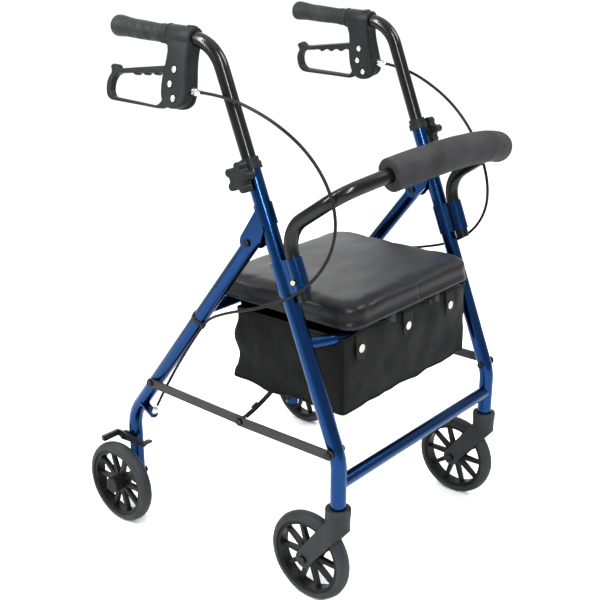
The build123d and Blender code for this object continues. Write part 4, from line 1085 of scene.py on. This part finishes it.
closed_cell = moulded("foam", (0.022, 0.022, 0.023), (0.04, 0.04, 0.041), 0.62, 0.8, 520, 0.0006)
foam = settle(foam_shape, "foam_sleeve", closed_cell, "back_rest", 60)
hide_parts("back_foam")


# ---- Hand grips ----------------------------------------------------------------------------
# Soft black rubber, moulded over a plug and pushed onto the handle tube: a stop flange, a
# ribbed collar, a body with rows of low bumps that swells under the palm, a flared end.
grip_line = [
    (0.0893, 0.0114), (0.0893, 0.0158), (0.0899, 0.0166), (0.0910, 0.0169), (0.0926, 0.0168), (0.0938, 0.0160),
    (0.0946, 0.0146), (0.0952, 0.0139), (0.0962, 0.0146), (0.0974, 0.0149), (0.0986, 0.0146), (0.0994, 0.0139),
    (0.1002, 0.0139), (0.1010, 0.0146), (0.1022, 0.0149), (0.1034, 0.0146), (0.1042, 0.0139), (0.1050, 0.0139),
    (0.1058, 0.0146), (0.1070, 0.0149), (0.1084, 0.0145), (0.1110, 0.0140), (0.1180, 0.0139), (0.1280, 0.0141),
    (0.1380, 0.0144), (0.1480, 0.0147), (0.1580, 0.0148), (0.1680, 0.0147), (0.1780, 0.0146), (0.1870, 0.0147),
    (0.1950, 0.0151), (0.2010, 0.0157), (0.2060, 0.0162), (0.2095, 0.0163), (0.2122, 0.0158), (0.2142, 0.0146),
    (0.2152, 0.0126), (0.2158, 0.0090), (0.2160, 0.0045), (0.2160, 0), (0.2054, 0), (0.2054, 0.0114),
]
grip_rubber = moulded("grip_rubber", (0.018, 0.0185, 0.019), (0.032, 0.033, 0.034), 0.42, 0.62, 330, 0.0007)
grip_tilt = radians(3.3)
grip_heading = Vector((0, cos(grip_tilt), sin(grip_tilt)))
grip_across = Vector((1, 0, 0))
grip_x, grip_y, grip_z = 0.22, -0.0012, 0.8699
grip_bore = 0.0125
bump_rise, bump_size = 0.0011, 0.0042
bump_start, bump_pitch = 0.1165, 0.0195
palm_place, palm_length, palm_swell = 0.196, 0.016, 0.0016
grip_frames = {}
for side, s in SIDES.items():
    grip_frame = Matrix((grip_heading, grip_across, grip_heading.cross(grip_across))).transposed().to_4x4()
    grip_frame.translation = Vector((s * grip_x, grip_y, grip_z))
    grip_frames[side] = grip_frame
    body = []
    for (along, radius), (next_along, next_radius) in zip(grip_line, grip_line[1:]):
        parts = max(1, round((next_along - along) / 0.0022))
        body += [
            (along + (next_along - along) * part / parts, radius + (next_radius - radius) * part / parts)
            for part in range(parts)
        ]
    rubber = turned(body + grip_line[-1:], 64, Matrix.Identity(4))
    for vertex in rubber.verts:
        radius = hypot(vertex.co.y, vertex.co.z)
        if radius > grip_bore:
            raised = 0
            for number in range(4):
                for turn in (0.1, 0.55, 0.9):
                    around = atan2(vertex.co.z, vertex.co.y) - pi * (turn * 2 - 1)
                    ahead = vertex.co.x - bump_start - bump_pitch * number
                    off = hypot(ahead, 0.75 * radius * sin(around / 2) * 2)
                    raised += exp(-(off / bump_size) ** 2)
            vertex.co.y *= 1 + bump_rise * raised / radius
            vertex.co.z *= 1 + bump_rise * raised / radius
        palm = exp(-((vertex.co.x - palm_place) / palm_length) ** 2) * (radius > grip_bore)
        vertex.co.z -= palm_swell * palm * max(0, -vertex.co.z / 0.016)
    bmesh.ops.transform(rubber, matrix=grip_frame, verts=rubber.verts)
    grip = settle(rubber, f"hand_grip_{side}", grip_rubber, f"handle_{side}", 50)
    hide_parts(f"grip_{side}")


# ---- Brake housings ------------------------------------------------------------------------
# Two black nylon cheeks screwed together over a middle web, with a clamp round the handle tube
# on top and a square lug for the clamp screw. Three bolts cross it, the top one is the
# lever's pivot, and each lies in a shallow ring.
def eased(points, steps):
    """A closed line that runs smoothly through its points."""
    line = []
    count = len(points)
    for place in range(count):
        a, b, c, d = (Vector(points[(place + shift) % count]) for shift in (-1, 0, 1, 2))
        for step in range(steps):
            t = step / steps
            bend = (2 * a - 5 * b + 4 * c - d) * t * t + (3 * b - a - 3 * c + d) * t * t * t
            line.append(0.5 * (2 * b + (c - a) * t + bend))
    return line


def plate(loops, low_w, high_w, low_round, high_round):
    """A flat moulding: an outline and its holes in millimetres, with rounded rims."""
    turns = [pi / 2 * step / 4 for step in range(5)]
    stations = [(low_round * (1 - sin(turn)), low_w + low_round * (1 - cos(turn))) for turn in turns]
    stations += [(high_round * (1 - cos(turn)), high_w - high_round * (1 - sin(turn))) for turn in turns]
    shape = bmesh.new()
    caps = ([], [])
    for number, loop in enumerate(loops):
        loop = [Vector(point) for point in loop]
        if (sum(a.cross(b) for a, b in zip(loop, loop[1:] + loop[:1])) > 0) == (number > 0):
            loop.reverse()
        inward = []
        for before, after in zip(loop[-1:] + loop[:-1], loop[1:] + loop[:1]):
            along = (after - before).normalized()
            inward.append(Vector((-along.y, along.x)))
        ring = [shape.verts.new((0, 0, 0)) for point in loop]
        edges = [shape.edges.new(pair) for pair in zip(ring, ring[1:] + ring[:1])]
        for count, (inset, w) in enumerate(stations):
            if count:
                corners, edges = drawn_out(shape, edges)
                fresh = set(corners)
                ring = [
                    next(other for edge in vertex.link_edges if (other := edge.other_vert(vertex)) in fresh)
                    for vertex in ring
                ]
                edges = [edge for edge in edges if edge.verts[0] in fresh and edge.verts[1] in fresh]
            else:
                caps[0].extend(edges)
            for vertex, point, way in zip(ring, loop, inward):
                flat = point / 1000 + way * (inset / 1000)
                vertex.co = (flat.x, flat.y, w / 1000)
        caps[1].extend(edges)
    for rim in caps:
        bmesh.ops.triangle_fill(shape, use_beauty=True, edges=rim)
    bmesh.ops.remove_doubles(shape, verts=shape.verts, dist=1e-6)
    bmesh.ops.recalc_face_normals(shape, faces=shape.faces)
    return shape


cheek_line = eased([
    (38, -1), (38.6, -14), (39, -28), (38, -42), (36, -56), (34.6, -68), (34, -80), (36.5, -92), (45, -100),
    (56, -103.6), (68, -104), (78, -100.5), (85, -91), (88, -78), (88, -62), (86.5, -48), (84, -36),
    (82.4, -20), (82, -1),
], 3)
web_line = [
    (38.6, -2), (39.3, -28), (38.3, -42), (36.3, -56), (34.9, -68), (34.3, -80), (37, -91.5), (46, -99.3),
    (58, -102.9), (70, -103.2), (75.5, -101), (74, -78), (50, -57), (50, -36), (83.5, -31.5), (82, -20),
    (81.5, -2),
]
bolt_places = ((61.4, -46.0), (67.6, -68.0), (57.6, -88.7))
boss_ring = [
    (-0.0005, 0.0056), (0.0002, 0.0056), (0.0005, 0.006), (0.0005, 0.0069), (0.0001, 0.0074), (-0.0005, 0.0076),
]
bolt_head = [
    (-0.0004, 0), (-0.0004, 0.0047), (0.0003, 0.005), (0.0010, 0.0049), (0.0016, 0.0043), (0.0020, 0.0032),
    (0.0021, 0.0020), (0.0011, 0.0017), (0.0011, 0),
]
clamp_line = [
    (0.0380, 0.0112), (0.0380, 0.0155), (0.0384, 0.0162), (0.0391, 0.0165), (0.0612, 0.0165), (0.0616, 0.0161),
    (0.0620, 0.0165), (0.0875, 0.0165), (0.0882, 0.0162), (0.0886, 0.0155), (0.0886, 0.0112),
]
housing_half = 14.5
housing_lean = radians(11.7)
housing_frames = {}
for side, s in SIDES.items():
    out = Vector((cos(housing_lean), 0, s * sin(housing_lean)))
    up = Vector((-s * sin(housing_lean), 0, cos(housing_lean)))
    housing_frame = Matrix((Vector((0, 1, 0)), up, out)).transposed().to_4x4()
    housing_frame.translation = Vector((s * grip_x, 0, grip_z))
    housing_frames[side] = housing_frame
    body = plate([cheek_line], 6.4, housing_half, 0, 4.2)
    into(body, plate([cheek_line], -housing_half, -6.4, 4.2, 0))
    into(body, plate([web_line], -6.5, 6.5, 0, 0))
    lug = block((0.011, 0.008, 0.012))
    eased_edges(lug, list(lug.edges), 0.0012, 3)
    bmesh.ops.translate(lug, vec=(0.0475, 0.0168, 0), verts=lug.verts)
    into(body, lug)
    bolts = bmesh.new()
    for u, v in bolt_places:
        for way in (1, -1):
            seat = Matrix.Translation((u / 1000, v / 1000, way * housing_half / 1000))
            seat @= Matrix.Rotation(-way * pi / 2, 4, "Y")
            into(body, turned(boss_ring, 28, seat))
            into(bolts, turned(bolt_head, 24, seat))
    for shape in (body, bolts):
        bmesh.ops.transform(shape, matrix=housing_frame, verts=shape.verts)
    into(body, turned(clamp_line, 56, grip_frames[side]))
    housing = settle(body, f"housing_{side}", moulded_black, f"handle_{side}", 35)
    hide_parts(f"brake_housing_{side}")
    bolt_set = settle(bolts, f"housing_screws_{side}", zinc, f"handle_{side}", 35)
    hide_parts(f"housing_bolts_{side}")


# ---- Barrel adjusters ----------------------------------------------------------------------
# A plated hex lock nut against the housing and a knurled barrel that the cable leaves. The
# barrel screws in and out of the housing to take up the cable's slack.
adjuster_line = [
    (0, 0), (0, 0.0058), (0.0005, 0.0064), (0.0048, 0.0064), (0.0053, 0.0058), (0.0053, 0.0045),
    (0.0062, 0.0045), (0.0062, 0.0054), (0.0068, 0.0062), (0.0128, 0.0062), (0.0136, 0.0054),
    (0.0140, 0.0042), (0.0142, 0.0038), (0.0192, 0.0038), (0.0200, 0.0032), (0.0200, 0),
]
knurl_start, knurl_end, knurl_teeth, knurl_depth = 0.0060, 0.0132, 24, 0.05
nut_end, nut_core = 0.005, 0.005
for side in SIDES:
    foot = housing_frames[side] @ Vector((0.0339, -0.0746, 0))
    barrel = turned(adjuster_line, 48, Matrix.Identity(4))
    for vertex in barrel.verts:
        angle = atan2(vertex.co.z, vertex.co.y)
        knurled = knurl_start < vertex.co.x < knurl_end
        depth = knurl_depth * (cos(angle * knurl_teeth) > 0) if knurled else 0
        hexed = vertex.co.x < nut_end and hypot(vertex.co.y, vertex.co.z) > nut_core
        flat = cos(pi / 6) / cos((angle + pi / 6) % (pi / 3) - pi / 6) if hexed else 1
        vertex.co.y *= flat * (1 - depth)
        vertex.co.z *= flat * (1 - depth)
    bmesh.ops.transform(
        barrel, matrix=Matrix.Translation(foot) @ Matrix.Rotation(-pi / 2, 4, "Z"), verts=barrel.verts
    )
    adjuster = settle(barrel, f"adjuster_{side}", bright_steel, f"handle_{side}", 25)
    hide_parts(f"barrel_adjuster_{side}")


# ---- Brake levers --------------------------------------------------------------------------
# Closed loops moulded in black nylon, 12 mm thick. Three finger scallops run under the top
# bar, a thumb knob stands at its outer end, and the hub turns on the housing's top bolt.
loop_line = eased([
    (54.4, -44), (57, -39.4), (62, -38.2), (72, -39.2), (84, -40.6), (110, -43.7), (140, -47.2), (170, -50.8),
    (190, -53.2), (197.5, -53), (200.5, -49.8), (205, -47.6), (211, -47.8), (216, -51.2), (214.4, -56.2),
    (213.6, -61.5), (218, -67.5), (221, -74), (222, -81), (221.2, -91), (217.5, -98.6), (209, -103.6),
    (190, -104.6), (160, -105.3), (130, -106), (105, -106.8), (95, -106.3), (85.5, -102.6), (80, -95),
    (77.8, -85), (76.5, -71), (73, -59.5), (66, -54), (58, -52.8), (54.6, -49.4),
], 4)
finger_line = eased([
    (93.5, -53), (103, -53), (111, -57.4), (119, -54.3), (127, -54.6), (134.5, -59.2), (142, -55.9),
    (150, -56.4), (157, -60.8), (164, -57.7), (174, -58.6), (184, -59.8), (194, -60.8), (203.5, -65),
    (209.5, -73), (211.6, -82), (210.4, -91), (204, -97.6), (190, -99), (160, -100.3), (130, -101.6),
    (107, -102.4), (98, -100), (91.6, -93.5), (89.3, -85), (89.8, -72), (91.4, -61),
], 4)
for side in SIDES:
    loop_shape = plate([loop_line, finger_line], -6, 6, 1.6, 1.6)
    bmesh.ops.transform(loop_shape, matrix=housing_frames[side], verts=loop_shape.verts)
    lever = settle(loop_shape, f"lever_loop_{side}", moulded_black, f"lever_{side}", 40)
    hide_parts(f"brake_lever_{side}")
